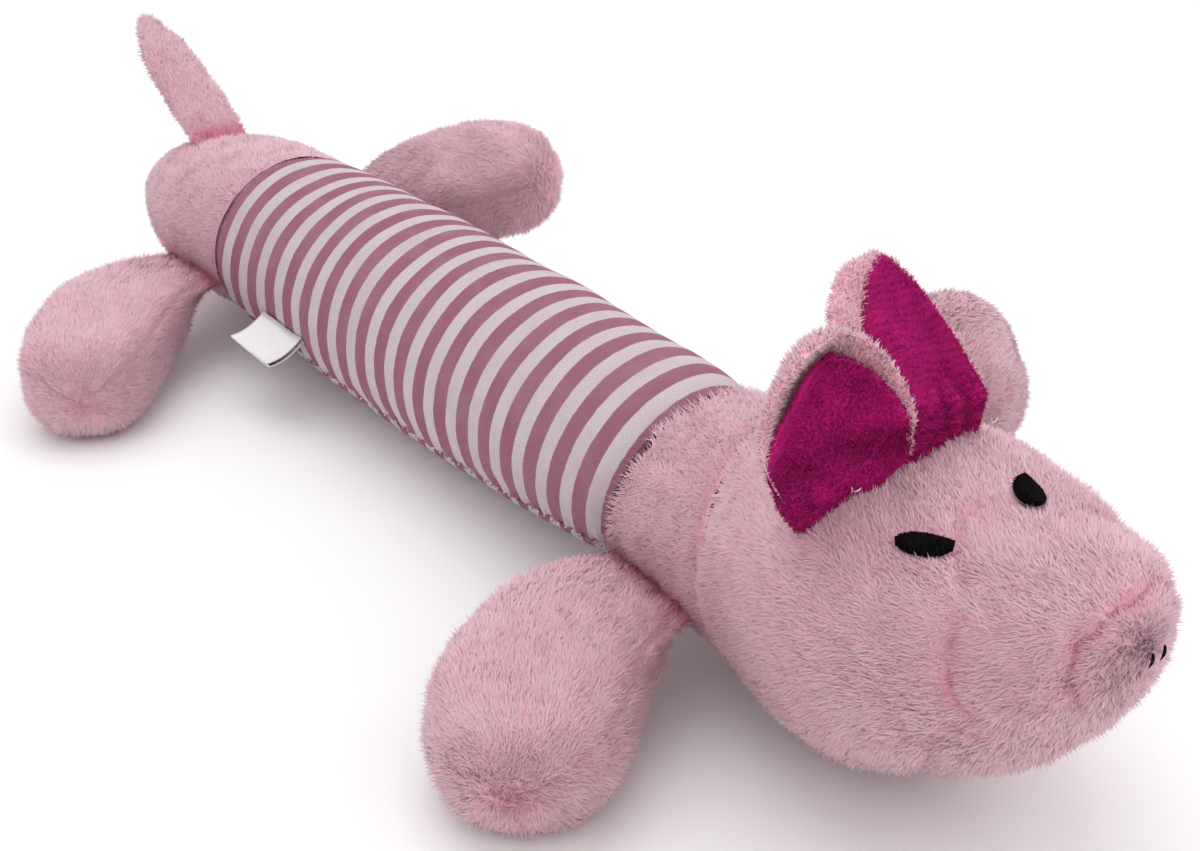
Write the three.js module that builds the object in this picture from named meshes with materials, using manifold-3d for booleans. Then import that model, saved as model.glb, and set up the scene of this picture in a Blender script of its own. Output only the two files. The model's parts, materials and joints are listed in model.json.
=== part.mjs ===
// Stuffed dog toy in the shape of a pig that lies on its belly. Millimetres, +Z up, the head towards -Y, the
// toy's right side at -X. The origin is on the floor, under the middle of the belly. The legs of the right side
// lie on the floor and those of the left side stand up, as a soft toy's legs stay where they were pushed.

import * as THREE from 'three';
import { mergeVertices } from 'three/addons/utils/BufferGeometryUtils.js';
import Module from 'manifold-3d';

const wasm = await Module();
wasm.setup();

// Cloth and fits
const plushWall = 1.6; // plush cloth without its pile
const jerseyWall = 1.0;
const seamGap = 0.3; // between two sewn edges
const earGap = 0.45; // between an ear's back and its lining
const fillingGap = 0.5; // between a skin and the filling in it
const pressedFlat = 0.5; // depth to which the floor presses a soft form flat
const overrun = 5; // how far a cutting solid runs past what it cuts

// Striped sleeve and the pink ends of the body
const sleeveLength = 132;
const neckRadius = 17.6;
const hipRadius = 19.9;
const bellySwell = 2.6; // how far the stuffing swells the sleeve half way along
const sideBow = 3.75; // how far the body bows to its left
const archLift = 3.8; // how far the two ends of the sleeve lie above its middle
const chestLength = 23;
const chestSwell = 0.6;
const collarRadius = 20.6; // at the seam between the chest and the head
const collarLean = 0.25; // slope of the collar seam: its top lies behind its bottom
const neckLean = -0.2; // slope of the sleeve's two ends: their tops lie forward
const rumpLength = 57.5;
const rumpSwell = 2.3; // how far the rump swells past the end of the sleeve
const rumpSidePower = 2.35; // how full the rump is at its sides, on top and below
const rumpTopPower = 1.67;
const rumpUnderPower = 2.6;

// Head
const headLength = 61; // from the collar seam to the tip of the snout
const headHalfWidth = 28;
const headHeight = 51.5; // top of the head above the floor
const cheekShare = 0.63; // height of the widest part of the head, as a share of headHeight
const browPower = 2.7; // how full the sections are over the widest part: 2 is an ellipse, more is boxier
const jawPower = 1.85; // and under it
const snoutTipShare = 0.785; // height of the snout's tip, as a share of headHeight
const muzzleTopShare = 0.52; // where along the head the muzzle seam starts, between the eyes
const muzzleSideShare = 0.88; // and where it runs down the cheeks
const noseSeamShare = 0.93;
const noseTuck = 0.25; // how far the inside of the nose pad stays behind its outside
// Each row: along headLength, half width of headHalfWidth, top and bottom of headHeight. The first ring of the
// head is the collar's.
const headShares = [
  [0.06, 0.79, 0.905, 0.03],
  [0.14, 0.85, 0.955, 0.0],
  [0.24, 0.93, 0.985, -0.01],
  [0.36, 0.99, 0.985, 0.005],
  [0.48, 1, 0.945, 0.05],
  [0.58, 0.95, 0.92, 0.115],
  [0.68, 0.86, 0.92, 0.185],
  [0.78, 0.74, 0.93, 0.265],
  [0.87, 0.6, 0.945, 0.365],
  [0.94, 0.46, 0.93, 0.48],
  [0.985, 0.3, 0.88, 0.61],
];

// Legs: club shapes, pinched flat where they are sewn in
const legReach = 38.5; // from the root to the end of the foot, straight out
const rightFrontSweep = 29; // how far a foot lies forward of its root
const leftFrontSweep = 22;
const rightRearSweep = 32;
const leftRearSweep = 39;
const rootHalfWidth = 11;
const rootHalfHeight = 2.2;
const footHalfWidth = 17.8;
const footHalfHeight = 11.5;
const footPower = 2.4;
const footWidenPower = 1.4; // how late the leg widens towards the foot
const footRoundShare = 0.57; // where along the leg the foot starts to round off, seen from above
const solePower = 2.6;
const soleRoundShare = 0.85; // and seen from the side
const rootSlit = 1; // height of the opening through which the leg was stuffed
const rootLip = 0.64; // cloth over and under that opening, where it is pinched
const legFillingGap = 0.8;
const rootHeight = 16; // of the four roots above the floor
const frontRootOffset = 8.5; // middle of the front roots, ahead of the neck seam
const rearRootOffset = 15; // middle of the rear roots, behind the rump seam
const leftFrontRaise = 50; // degrees above the legs of the right side
const leftRearRaise = 36;

// Ears: a plush back and a thinner velour lining, both dished
const earBaseHalf = 11.8;
const earHalfWidth = 13.8;
const earBack = 2;
const earLining = 1.3;
const earDish = 4.5; // how far the ear's edges stand in front of its middle
const liningRim = 2.4; // width of the plush rim round the lining
const earOffset = 20; // of the collar seam
const earFall = 14; // degrees that the base falls outwards
const earToe = 5; // degrees that the base turns back at its outer end
const rightEarHeight = 20.7;
const rightEarRootX = 13.5;
const rightEarLean = 8; // degrees that the ear leans back
const rightTipShift = 0;
const leftEarHeight = 27.5;
const leftEarRootX = 11.5;
const leftEarLean = 44;
const leftTipShift = -9.5; // how far the tip of the left ear is pushed inwards
const earWidenShare = 0.3; // the part of its height in which an ear widens from its base
const earRoundShare = 0.2; // where up the ear its outline starts to round off
const earSeatShare = 0.25; // the part of its height in which the ear takes its dished shape

// Tail: a flattened, tapered fin
const tailLength = 34.8;
const tailRootHalf = 5;
const tailHalfWidth = 8;
const tailRootThick = 1.8;
const tailHalfThick = 3;
const tailRootOffset = 35.8; // behind the rump seam
const tailLean = 60; // degrees back from upright
const tailSlit = 0.8;
const tailWall = 1.1;
const tailWidenShare = 0.45; // where along the tail it is widest
const tailThickenShare = 0.35; // and thickest
const tailRoundShare = 0.3; // where it starts to round off
const tailRoundPower = 2.6;

// Face
const eyeHalfLength = 4;
const eyeHalfHeight = 2;
const eyeThread = 0.8; // how far the embroidery stands up
const eyeShare = 0.56; // where along the head the eyes lie
const eyeSpread = 11; // from the middle of the face
const eyeTurn = 42; // degrees that an eye's inner end points forward
const eyeTaper = 0.35; // how much an eye narrows towards its ends
const eyeCrown = 0.6; // width of its raised middle, as a share of the eye
const nostrilWidth = 0.7;
const nostrilHeight = 2.6;
const nostrilSpread = 1.3;

// Squeaker
const bulbRadius = 12;
const bulbHalfLength = 15;
const bulbWall = 0.8;
const reedRadius = 3.2;
const reedLength = 7;
const reedWall = 0.9;
const reedFlange = 1.6;

// Label and closing seam
const labelWidth = 20;
const labelLength = 11;
const labelPly = 0.35;
const labelLoop = 1.6; // outer thickness of the folded loop
const labelY = 39;
const labelAngle = 192; // degrees round the sleeve from its left side, over the top
const labelDroop = 30; // degrees below straight out
const closingAngle = 213;
const closingWidth = 2.2;
const closingHeight = 0.9;

// Counts: points round a section and rings along a form
const bodySides = 20;
const legSides = 14;
const sleeveRings = 8;
const lathePoints = 16;
const rootSamples = 6; // places along a root that are kept off the trunk
const endRings = 4; // of the chest and of the nose pad
const eyeSides = 16;
const stitchSides = 8;
const stitchRings = 3;
const bendSegments = 8;
const slopeStep = 0.002; // a short step, over which the slope of a surface is taken
const domeShares = [0.25, 0.45, 0.62, 0.77, 0.88, 0.96];

const halfSleeve = sleeveLength / 2;
const meanRadius = (neckRadius + hipRadius) / 2;
const bellyHeight = meanRadius + bellySwell - pressedFlat; // of the body's axis above the floor
const collarY = -halfSleeve - chestLength;
const endHeight = bellyHeight + archLift;
const endX = -sideBow; // the head and the rump lie to the right of the belly's middle
const frontRootY = -halfSleeve - frontRootOffset;
const rearRootY = halfSleeve + rearRootOffset;
const earRootY = collarY - earOffset;

const materials = {
  pinkPlush: new THREE.MeshStandardMaterial({ color: '#e2b3be', roughness: 1, metalness: 0 }),
  stripedJersey: new THREE.MeshStandardMaterial({ color: '#b08a99', roughness: 0.95, metalness: 0 }),
  magentaVelour: new THREE.MeshStandardMaterial({ color: '#8d0c4b', roughness: 0.9, metalness: 0 }),
  blackThread: new THREE.MeshStandardMaterial({ color: '#141214', roughness: 0.6, metalness: 0 }),
  whiteSatin: new THREE.MeshStandardMaterial({ color: '#f2f0f0', roughness: 0.4, metalness: 0 }),
  mauveThread: new THREE.MeshStandardMaterial({ color: '#9a6478', roughness: 0.9, metalness: 0 }),
  fibre: new THREE.MeshStandardMaterial({ color: '#f4f4f2', roughness: 1, metalness: 0 }),
  clearPlastic: new THREE.MeshStandardMaterial({ color: '#e6e8e4', roughness: 0.35, metalness: 0 }),
};

const radians = THREE.MathUtils.degToRad;
const lerp = THREE.MathUtils.lerp;

// A rounded power of sine or cosine, for sections between an ellipse and a box
function rounded(value, power) {
  return Math.sign(value) * Math.abs(value) ** (2 / power);
}

// Runs from 0 to 1 and levels off there
function eased(share) {
  return Math.sin((Math.min(share, 1) * Math.PI) / 2);
}

// A closed surface through rings that have the same number of points, or one point where the surface closes.
// A tube wall runs on from its last ring to its first one; any other surface is capped at both ends.
function surfaceThrough(rings, isWall) {
  const places = [];
  const faces = [];
  const starts = rings.map((ring) => {
    const start = places.length;
    places.push(...ring);
    return start;
  });
  const bridge = (a, b) => {
    const count = Math.max(rings[a].length, rings[b].length);
    if (count === 1) return;
    for (let i = 0; i < count; i++) {
      const next = (i + 1) % count;
      const [a0, a1] = rings[a].length === 1 ? [starts[a], starts[a]] : [starts[a] + i, starts[a] + next];
      const [b0, b1] = rings[b].length === 1 ? [starts[b], starts[b]] : [starts[b] + i, starts[b] + next];
      if (a0 !== a1) faces.push([a0, a1, b1]);
      if (b0 !== b1) faces.push([a0, b1, b0]);
    }
  };
  const cap = (a, isFirst) => {
    if (rings[a].length === 1) return;
    const middle = rings[a].reduce((sum, p) => sum.add(p), new THREE.Vector3());
    places.push(middle.divideScalar(rings[a].length));
    rings[a].forEach((p, i) => {
      const edge = [starts[a] + i, starts[a] + ((i + 1) % rings[a].length)];
      faces.push([places.length - 1, ...(isFirst ? edge.reverse() : edge)]);
    });
  };
  for (let i = 1; i < rings.length; i++) bridge(i - 1, i);
  if (isWall) {
    bridge(rings.length - 1, 0);
  } else {
    cap(0, true);
    cap(rings.length - 1, false);
  }
  const volume = faces.reduce((sum, [a, b, c]) => {
    const normal = new THREE.Vector3().crossVectors(places[b], places[c]);
    return sum + places[a].dot(normal);
  }, 0);
  const outward = volume < 0 ? faces.map(([a, b, c]) => [a, c, b]) : faces;
  const geometry = new THREE.BufferGeometry().setFromPoints(places);
  geometry.setIndex(outward.flat());
  return geometry;
}

// Solids for cutting, and back again
function solidOf(geometry) {
  const bare = new THREE.BufferGeometry();
  bare.setAttribute('position', geometry.getAttribute('position'));
  bare.setIndex(geometry.getIndex());
  const merged = mergeVertices(bare);
  const vertProperties = new Float32Array(merged.getAttribute('position').array);
  const triVerts = new Uint32Array(merged.getIndex().array);
  return new wasm.Manifold(new wasm.Mesh({ numProp: 3, vertProperties, triVerts }));
}

function geometryOf(solid) {
  const mesh = solid.getMesh();
  const geometry = new THREE.BufferGeometry();
  geometry.setAttribute('position', new THREE.BufferAttribute(new Float32Array(mesh.vertProperties), 3));
  geometry.setIndex(new THREE.BufferAttribute(new Uint32Array(mesh.triVerts), 1));
  return geometry;
}

const floorWidth = 2 * (headHalfWidth + legReach + footHalfWidth + overrun);
const floorLength = sleeveLength + 2 * (chestLength + headLength + rumpLength);
const floorPlate = new THREE.BoxGeometry(floorWidth, floorLength, overrun);
const underFloor = solidOf(floorPlate.translate(0, 0, -overrun / 2));

function pressedOnFloor(geometry) {
  return geometryOf(solidOf(geometry).subtract(underFloor));
}

// Body sections: rings square to Y
function sectionRing(section) {
  const ring = [];
  for (let i = 0; i < bodySides; i++) {
    const angle = (2 * Math.PI * i) / bodySides;
    ring.push(pointOnSection(section, angle));
  }
  return ring;
}

function pointOnSection({ x, y, z, halfWidth, up, down, power, lowPower = power, lean }, angle) {
  const isUpper = Math.sin(angle) > 0;
  const bend = isUpper ? power : lowPower;
  const across = halfWidth * rounded(Math.cos(angle), bend);
  const height = (isUpper ? up : down) * rounded(Math.sin(angle), bend);
  return new THREE.Vector3(x + across, y + lean * height, z + height);
}

function sleeveSection(y, inset) {
  const share = y / halfSleeve;
  const swell = 1 - share * share;
  const radius = meanRadius + ((hipRadius - neckRadius) / 2) * share + bellySwell * swell - inset;
  const x = endX + sideBow * swell;
  const z = endHeight - archLift * swell;
  const lean = neckLean * share * share;
  return { x, y, z, halfWidth: radius, up: radius, down: radius, power: 2, lean };
}

function chestSection(y, inset) {
  const share = (-halfSleeve - y) / chestLength;
  const radius = lerp(neckRadius, collarRadius, share) + chestSwell * Math.sin(Math.PI * share) - inset;
  const lean = lerp(neckLean, collarLean, share);
  return { x: endX, y, z: endHeight, halfWidth: radius, up: radius, down: radius, power: 2, lean };
}

function rumpSection(share, inset) {
  const swell = rumpSwell * Math.sin(Math.PI * share) - inset;
  const dome = (power) => (1 - share ** power) ** (1 / power);
  const y = halfSleeve + share * (rumpLength - inset);
  const halfWidth = (hipRadius + swell) * dome(rumpSidePower);
  const up = (hipRadius - inset) * dome(rumpTopPower);
  const down = (hipRadius + swell) * dome(rumpUnderPower);
  return { x: endX, y, z: endHeight, halfWidth, up, down, power: 2, lean: neckLean * (1 - share) };
}

// Sizes along the head: a smooth curve through the rows of headShares
const collarShares = [
  0,
  collarRadius / headHalfWidth,
  (endHeight + collarRadius) / headHeight,
  (endHeight - collarRadius) / headHeight,
];
const headRows = [collarShares, ...headShares];
const headCurve = [1, 2, 3].map(
  (column) => new THREE.CatmullRomCurve3(headRows.map((row) => new THREE.Vector3(row[0], row[column], 0))),
);

function sizeShareAt(share, column) {
  let low = 0;
  let high = 1;
  const steps = 30;
  for (let i = 0; i < steps; i++) {
    const middle = (low + high) / 2;
    if (headCurve[column].getPoint(middle).x < share) low = middle;
    else high = middle;
  }
  return headCurve[column].getPoint(low).y;
}

function headSection(share, inset) {
  const halfWidth = headHalfWidth * sizeShareAt(share, 0) - inset;
  const top = headHeight * sizeShareAt(share, 1);
  const bottom = Math.max(headHeight * sizeShareAt(share, 2), -pressedFlat);
  const y = collarY - share * headLength;
  const lean = collarLean * (1 - share);
  const middle = (top + bottom) / 2;
  const z = lerp(middle, Math.min(headHeight * cheekShare, (middle + top) / 2), Math.sin(Math.PI * share));
  const up = top - z - inset;
  const down = z - bottom - inset;
  const power = lerp(2, browPower, share);
  const lowPower = lerp(2, jawPower, Math.sin(Math.PI * share));
  return { x: endX, y, z, halfWidth, up, down, power, lowPower, lean };
}

// The space in front of the muzzle seam: seen from above it is a wedge, with its edge between the eyes
function muzzleWedge(gap) {
  const side = headHalfWidth + overrun;
  const topY = collarY - muzzleTopShare * headLength + gap;
  const sideY = collarY - muzzleSideShare * headLength + gap;
  const front = collarY - headLength - overrun;
  const shape = new THREE.Shape();
  shape.moveTo(0, topY);
  shape.lineTo(-headHalfWidth, sideY);
  shape.lineTo(-side, sideY);
  shape.lineTo(-side, front);
  shape.lineTo(side, front);
  shape.lineTo(side, sideY);
  shape.lineTo(headHalfWidth, sideY);
  const height = headHeight + 2 * overrun;
  const wedge = new THREE.ExtrudeGeometry(shape, { depth: height, bevelEnabled: false });
  return solidOf(wedge.translate(endX, 0, -overrun));
}

function snoutTip(inset) {
  return new THREE.Vector3(endX, collarY - headLength + inset, headHeight * snoutTipShare);
}

// An open tube of cloth between two stations, and the filling that fits in it
function range(from, to, count) {
  return Array.from({ length: count + 1 }, (_, i) => lerp(from, to, i / count));
}

function tubeSkin(sectionAt, stations, wall) {
  const outer = stations.map((s) => sectionRing(sectionAt(s, 0)));
  const inner = stations.map((s) => sectionRing(sectionAt(s, wall)));
  return surfaceThrough([...outer, ...inner.reverse()], true);
}

function tubeFilling(sectionAt, stations, wall) {
  return surfaceThrough(
    stations.map((s) => sectionRing(sectionAt(s, wall + fillingGap))),
    false,
  );
}

const stationShares = [0, 0.12, 0.25, 0.4, 0.55, 0.7, 0.82, 0.91, 0.97];

// Legs: sections square to a path that starts at the root and turns forward to the foot.
// Local axes: X straight out, Y along the root, Z up.
function legPath(side, sweep) {
  const root = new THREE.Vector3();
  const bend = new THREE.Vector3((side * legReach) / 2, 0, -legDrop / 2);
  const foot = new THREE.Vector3(side * legReach, -sweep, -legDrop);
  return new THREE.QuadraticBezierCurve3(root, bend, foot);
}

function legSizes(share) {
  const spread = (from) => eased(share / from);
  const round = (from, power) => {
    const past = Math.max(0, (share - from) / (1 - from));
    return (1 - past ** power) ** (1 / power);
  };
  const widen = spread(footRoundShare) ** footWidenPower;
  return {
    halfWidth: lerp(rootHalfWidth, footHalfWidth, widen) * round(footRoundShare, footPower),
    halfHeight: lerp(rootHalfHeight, footHalfHeight, spread(soleRoundShare)) * round(soleRoundShare, solePower),
  };
}

// How far the foot lies below the root, so that a leg held straight out meets the floor
const legDrop = Math.min(
  ...stationShares.slice(1).map((share) => (rootHeight + pressedFlat - legSizes(share).halfHeight) / share),
);

function limbRing(centre, along, halfWidth, halfHeight) {
  const across = new THREE.Vector3(-along.y, along.x, 0).normalize();
  const up = new THREE.Vector3().crossVectors(along, across).normalize();
  const ring = [];
  for (let i = 0; i < legSides; i++) {
    const angle = (2 * Math.PI * i) / legSides;
    const point = centre.clone().addScaledVector(across, halfWidth * Math.cos(angle));
    ring.push(point.addScaledVector(up, halfHeight * Math.sin(angle)));
  }
  return ring;
}

function legRings(side, sweep, inset) {
  const path = legPath(side, sweep);
  const shrink = 1 - inset / legReach;
  const rings = stationShares.map((share) => {
    const at = share * shrink;
    const { halfWidth, halfHeight } = legSizes(share);
    const height = Math.max(halfHeight - inset, rootSlit / 2);
    return limbRing(path.getPoint(at), path.getTangent(at), halfWidth - inset, height);
  });
  rings.push([path.getPoint(shrink)]);
  return rings;
}

// The root ends in a half round about the hinge line, so that it turns in place
function rootRound(side, halfWidth, halfHeight, radius) {
  const centre = new THREE.Vector3(-side * Math.sqrt(radius * radius - halfHeight * halfHeight), 0, 0);
  return limbRing(centre, new THREE.Vector3(side, 0, 0), halfWidth, halfHeight);
}

function legSkin(side, sweep) {
  const lip = rootSlit / 2 + rootLip;
  const middle = (rootHalfHeight + lip) / 2;
  const outer = [
    rootRound(side, rootHalfWidth - plushWall, lip, rootHalfHeight),
    rootRound(side, rootHalfWidth - plushWall / 4, middle, rootHalfHeight),
    ...legRings(side, sweep, 0),
  ];
  const slit = rootRound(side, rootHalfWidth - 2 * plushWall, rootSlit / 2, rootHalfHeight);
  return surfaceThrough([...outer, ...legRings(side, sweep, plushWall).reverse(), slit], true);
}

function legFilling(side, sweep) {
  const rings = legRings(side, sweep, plushWall + legFillingGap);
  return surfaceThrough(rings.slice(1), false);
}

// Ears: a dished leaf between two depths. Local axes: X along the base, Z up the ear, Y to the back of the head.
const earRowShares = [0, 0.1, 0.25, 0.42, 0.6, 0.76, 0.89, 0.97];
const earColumns = 8;

function earHalf(share, rim) {
  const widen = lerp(earBaseHalf, earHalfWidth, eased(share / earWidenShare));
  const past = Math.max(0, (share - earRoundShare) / (1 - earRoundShare));
  return widen * Math.sqrt(1 - past ** 2) - rim;
}

// The base of an ear is rounded about its seam, so that the ear turns in place
const earRootRound = earGap / 2 + earBack;
const browSection = headSection(earOffset / headLength, 0);

function browHeight(x) {
  const { z, up, halfWidth, power } = browSection;
  return z + up * Math.max(0, 1 - Math.abs(x / halfWidth) ** power) ** (1 / power);
}

function earLeaf({ side, height, tipShift }, nearDepth, farDepth, rim) {
  const rings = earRowShares.map((row) => {
    const z = row * (height - rim);
    const share = z / height;
    const half = earHalf(share, rim);
    const columns = range(-1, 1, earColumns);
    const place = (across, depth) => {
      const along = across * half;
      const free = Math.min(1, share / earSeatShare);
      const curl = earDish * (along / earHalfWidth) ** 2 * free;
      const edge = row === 0 ? Math.sqrt(earRootRound ** 2 - depth ** 2) : 0;
      return new THREE.Vector3(side * (along + tipShift * share ** 2), depth - curl, z - edge);
    };
    const near = columns.map((across) => place(across, nearDepth));
    const far = columns.reverse().map((across) => place(across, farDepth));
    return [...near, ...far];
  });
  return surfaceThrough(rings, false);
}

// Tail: flat sections square to its length. Local axes: X across, Z along the tail, Y to the back.
const tailRowShares = [0, 0.15, 0.35, 0.55, 0.75, 0.9, 0.97];

function tailRings(inset) {
  return tailRowShares.map((share) => {
    const widen = lerp(tailRootHalf, tailHalfWidth, eased(share / tailWidenShare));
    const past = Math.max(0, (share - tailRoundShare) / (1 - tailRoundShare));
    const round = Math.sqrt(1 - past ** tailRoundPower);
    const thick = lerp(tailRootThick, tailHalfThick, eased(share / tailThickenShare));
    const height = Math.max(thick * Math.sqrt(round) - inset, tailSlit / 2);
    const ring = [];
    for (let i = 0; i < legSides; i++) {
      const angle = (2 * Math.PI * i) / legSides;
      const across = (widen * round - inset) * Math.cos(angle);
      ring.push(new THREE.Vector3(across, height * Math.sin(angle), share * (tailLength - inset)));
    }
    return ring;
  });
}

function tailRoot(halfWidth, halfThick) {
  const z = -Math.sqrt(tailRootThick ** 2 - halfThick ** 2);
  return range(0, 2 * Math.PI, legSides)
    .slice(0, legSides)
    .map((angle) => new THREE.Vector3(halfWidth * Math.cos(angle), halfThick * Math.sin(angle), z));
}

function tailSkin() {
  const tip = [new THREE.Vector3(0, 0, tailLength)];
  const innerTip = [new THREE.Vector3(0, 0, tailLength - plushWall)];
  const lip = tailRoot(tailRootHalf - tailWall, (tailRootThick + tailSlit / 2) / 2);
  const slit = tailRoot(tailRootHalf - 2 * tailWall, tailSlit / 2);
  return surfaceThrough([lip, ...tailRings(0), tip, innerTip, ...tailRings(tailWall).reverse(), slit], true);
}

function tailFilling() {
  return surfaceThrough(tailRings(tailWall + fillingGap).slice(1, -1), false);
}

// A raised patch that follows the head: points are given along the head and round it
function headPatch(share, angle, turned, halfLength, halfHeight, thick) {
  const surface = (along, round, depth) => {
    const at = (s, a) => pointOnSection(headSection(s, 0), a);
    const point = at(along, round);
    const forward = at(along + slopeStep, round).sub(point);
    const around = at(along, round + slopeStep).sub(point);
    const normal = new THREE.Vector3().crossVectors(forward, around).normalize();
    const middle = new THREE.Vector3(endX, point.y, headSection(along, 0).z);
    if (normal.dot(point.clone().sub(middle)) < 0) normal.negate();
    return point.addScaledVector(normal, depth);
  };
  const { halfWidth } = headSection(share, 0);
  const rim = (size, depth) =>
    range(0, 2 * Math.PI, eyeSides)
      .slice(0, eyeSides)
      .map((turn) => {
        const taper = 1 - eyeTaper * Math.cos(turn) ** 2;
        const long = size * halfLength * Math.cos(turn);
        const high = size * taper * halfHeight * Math.sin(turn);
        const across = long * Math.cos(turned) - high * Math.sin(turned);
        const along = long * Math.sin(turned) + high * Math.cos(turned);
        return surface(share + along / headLength, angle + across / halfWidth, depth);
      });
  const back = [surface(share, angle, seamGap)];
  const front = [surface(share, angle, seamGap + thick)];
  const under = [back, rim(eyeCrown, seamGap), rim(1, seamGap)];
  const over = [rim(1, seamGap + thick / 2), rim(eyeCrown, seamGap + thick), front];
  return surfaceThrough([...under, ...over], false);
}

// Squeaker: a soft bulb with a throat, and the reed tube that is pushed into it. The axis runs along Y.
function latheAlongY(profile) {
  const points = profile.map(([radius, along]) => new THREE.Vector2(radius, along));
  return new THREE.LatheGeometry([...points, points[0]], lathePoints);
}

function bulbProfile(inset) {
  const steps = 9;
  const throat = reedRadius + (bulbWall - inset) + seamGap;
  const end = Math.acos(throat / (bulbRadius - inset));
  return range(-Math.PI / 2, end, steps).map((angle) => [
    Math.max((bulbRadius - inset) * Math.cos(angle), 0),
    (bulbHalfLength - inset) * Math.sin(angle),
  ]);
}

function squeakerBulb() {
  return latheAlongY([...bulbProfile(0), ...bulbProfile(bulbWall).reverse()]);
}

function squeakerReed() {
  const throatEnd = bulbHalfLength + seamGap;
  return latheAlongY([
    [reedRadius - reedWall, throatEnd - reedLength],
    [reedRadius, throatEnd - reedLength],
    [reedRadius, throatEnd],
    [reedRadius + reedFlange, throatEnd],
    [reedRadius + reedFlange, throatEnd + reedWall],
    [reedRadius - reedWall, throatEnd + reedWall],
  ]);
}

function squeakerPocket() {
  const room = bulbRadius + fillingGap;
  const end = bulbHalfLength + seamGap + reedWall + fillingGap;
  const pocket = new THREE.SphereGeometry(1, bodySides, bodySides / 2);
  pocket.scale(room, bulbHalfLength + fillingGap, room);
  const neckRoom = reedRadius + reedFlange + fillingGap;
  const neck = new THREE.CylinderGeometry(neckRoom, neckRoom, end, lathePoints);
  return solidOf(pocket).add(solidOf(neck.translate(0, end / 2, 0)));
}

// The folded label: a hairpin of ribbon. Local axes: X out from the body, Y along it.
function labelGeometry() {
  const shape = new THREE.Shape();
  const outer = labelLoop / 2;
  const inner = outer - labelPly;
  const bend = labelLength - outer;
  shape.moveTo(0, -outer);
  shape.lineTo(bend, -outer);
  shape.absarc(bend, 0, outer, -Math.PI / 2, Math.PI / 2, false);
  shape.lineTo(0, outer);
  shape.lineTo(0, inner);
  shape.lineTo(bend, inner);
  shape.absarc(bend, 0, inner, Math.PI / 2, -Math.PI / 2, true);
  shape.lineTo(0, -inner);
  const options = { depth: labelWidth, bevelEnabled: false, curveSegments: bendSegments };
  const sheet = new THREE.ExtrudeGeometry(shape, options);
  return sheet.translate(0, 0, -labelWidth / 2).rotateX(Math.PI / 2);
}

// The ridge of the hand-sewn closing seam, along the lower right side of the sleeve
function closingSeam() {
  const angle = radians(closingAngle);
  const rings = range(-halfSleeve + 2 * seamGap, halfSleeve - 2 * seamGap, sleeveRings * 2).map((y) => {
    const { x, z, halfWidth } = sleeveSection(y, 0);
    const turn = closingWidth / 2 / halfWidth;
    const place = (a, out) => {
      const r = halfWidth + out;
      return new THREE.Vector3(x + r * Math.cos(a), y, z + r * Math.sin(a));
    };
    return [place(angle - turn, seamGap), place(angle, seamGap + closingHeight), place(angle + turn, seamGap)];
  });
  return surfaceThrough(rings, false);
}

const toy = new THREE.Group();

function addMesh(parent, name, geometry, material) {
  const mesh = new THREE.Mesh(geometry, material);
  mesh.name = name;
  parent.add(mesh);
  return mesh;
}

// Head, chest, sleeve and rump, from the snout backwards
function addTrunk() {
  const stations = [...headRows.map((row) => row[0]).filter((s) => s < noseSeamShare), noseSeamShare];
  const head = solidOf(pressedOnFloor(tubeSkin(headSection, stations, plushWall)));
  addMesh(toy, 'head_skin', geometryOf(head.subtract(muzzleWedge(seamGap))), materials.pinkPlush);
  addMesh(toy, 'muzzle_skin', geometryOf(head.intersect(muzzleWedge(0))), materials.pinkPlush);

  const noseStart = noseSeamShare + seamGap / headLength;
  const nose = range(noseStart, headShares.at(-1)[0], endRings);
  const outer = nose.map((s) => sectionRing(headSection(s, 0)));
  const inner = nose.map((s) => sectionRing(headSection(s - (s - noseStart) * noseTuck, plushWall)));
  const noseRings = [...outer, [snoutTip(0)], [snoutTip(plushWall)], ...inner.reverse()];
  addMesh(toy, 'nose_pad', surfaceThrough(noseRings, true), materials.pinkPlush);

  const chest = range(-halfSleeve - seamGap, collarY + seamGap, endRings);
  addMesh(toy, 'chest_skin', tubeSkin(chestSection, chest, plushWall), materials.pinkPlush);
  const sleeve = range(-halfSleeve, halfSleeve, sleeveRings);
  const sleeveSkin = pressedOnFloor(tubeSkin(sleeveSection, sleeve, jerseyWall));
  addMesh(toy, 'torso_sleeve', sleeveSkin, materials.stripedJersey);
  const start = seamGap / rumpLength;
  const rumpOuter = [start, ...domeShares].map((s) => sectionRing(rumpSection(s, 0)));
  const rumpInner = [start, ...domeShares].map((s) => sectionRing(rumpSection(s, plushWall)));
  const rumpEnd = halfSleeve + rumpLength;
  const rumpRings = [
    ...rumpOuter,
    [new THREE.Vector3(endX, rumpEnd, endHeight)],
    [new THREE.Vector3(endX, rumpEnd - plushWall, endHeight)],
    ...rumpInner.reverse(),
  ];
  addMesh(toy, 'rump_skin', surfaceThrough(rumpRings, true), materials.pinkPlush);
}

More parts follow.
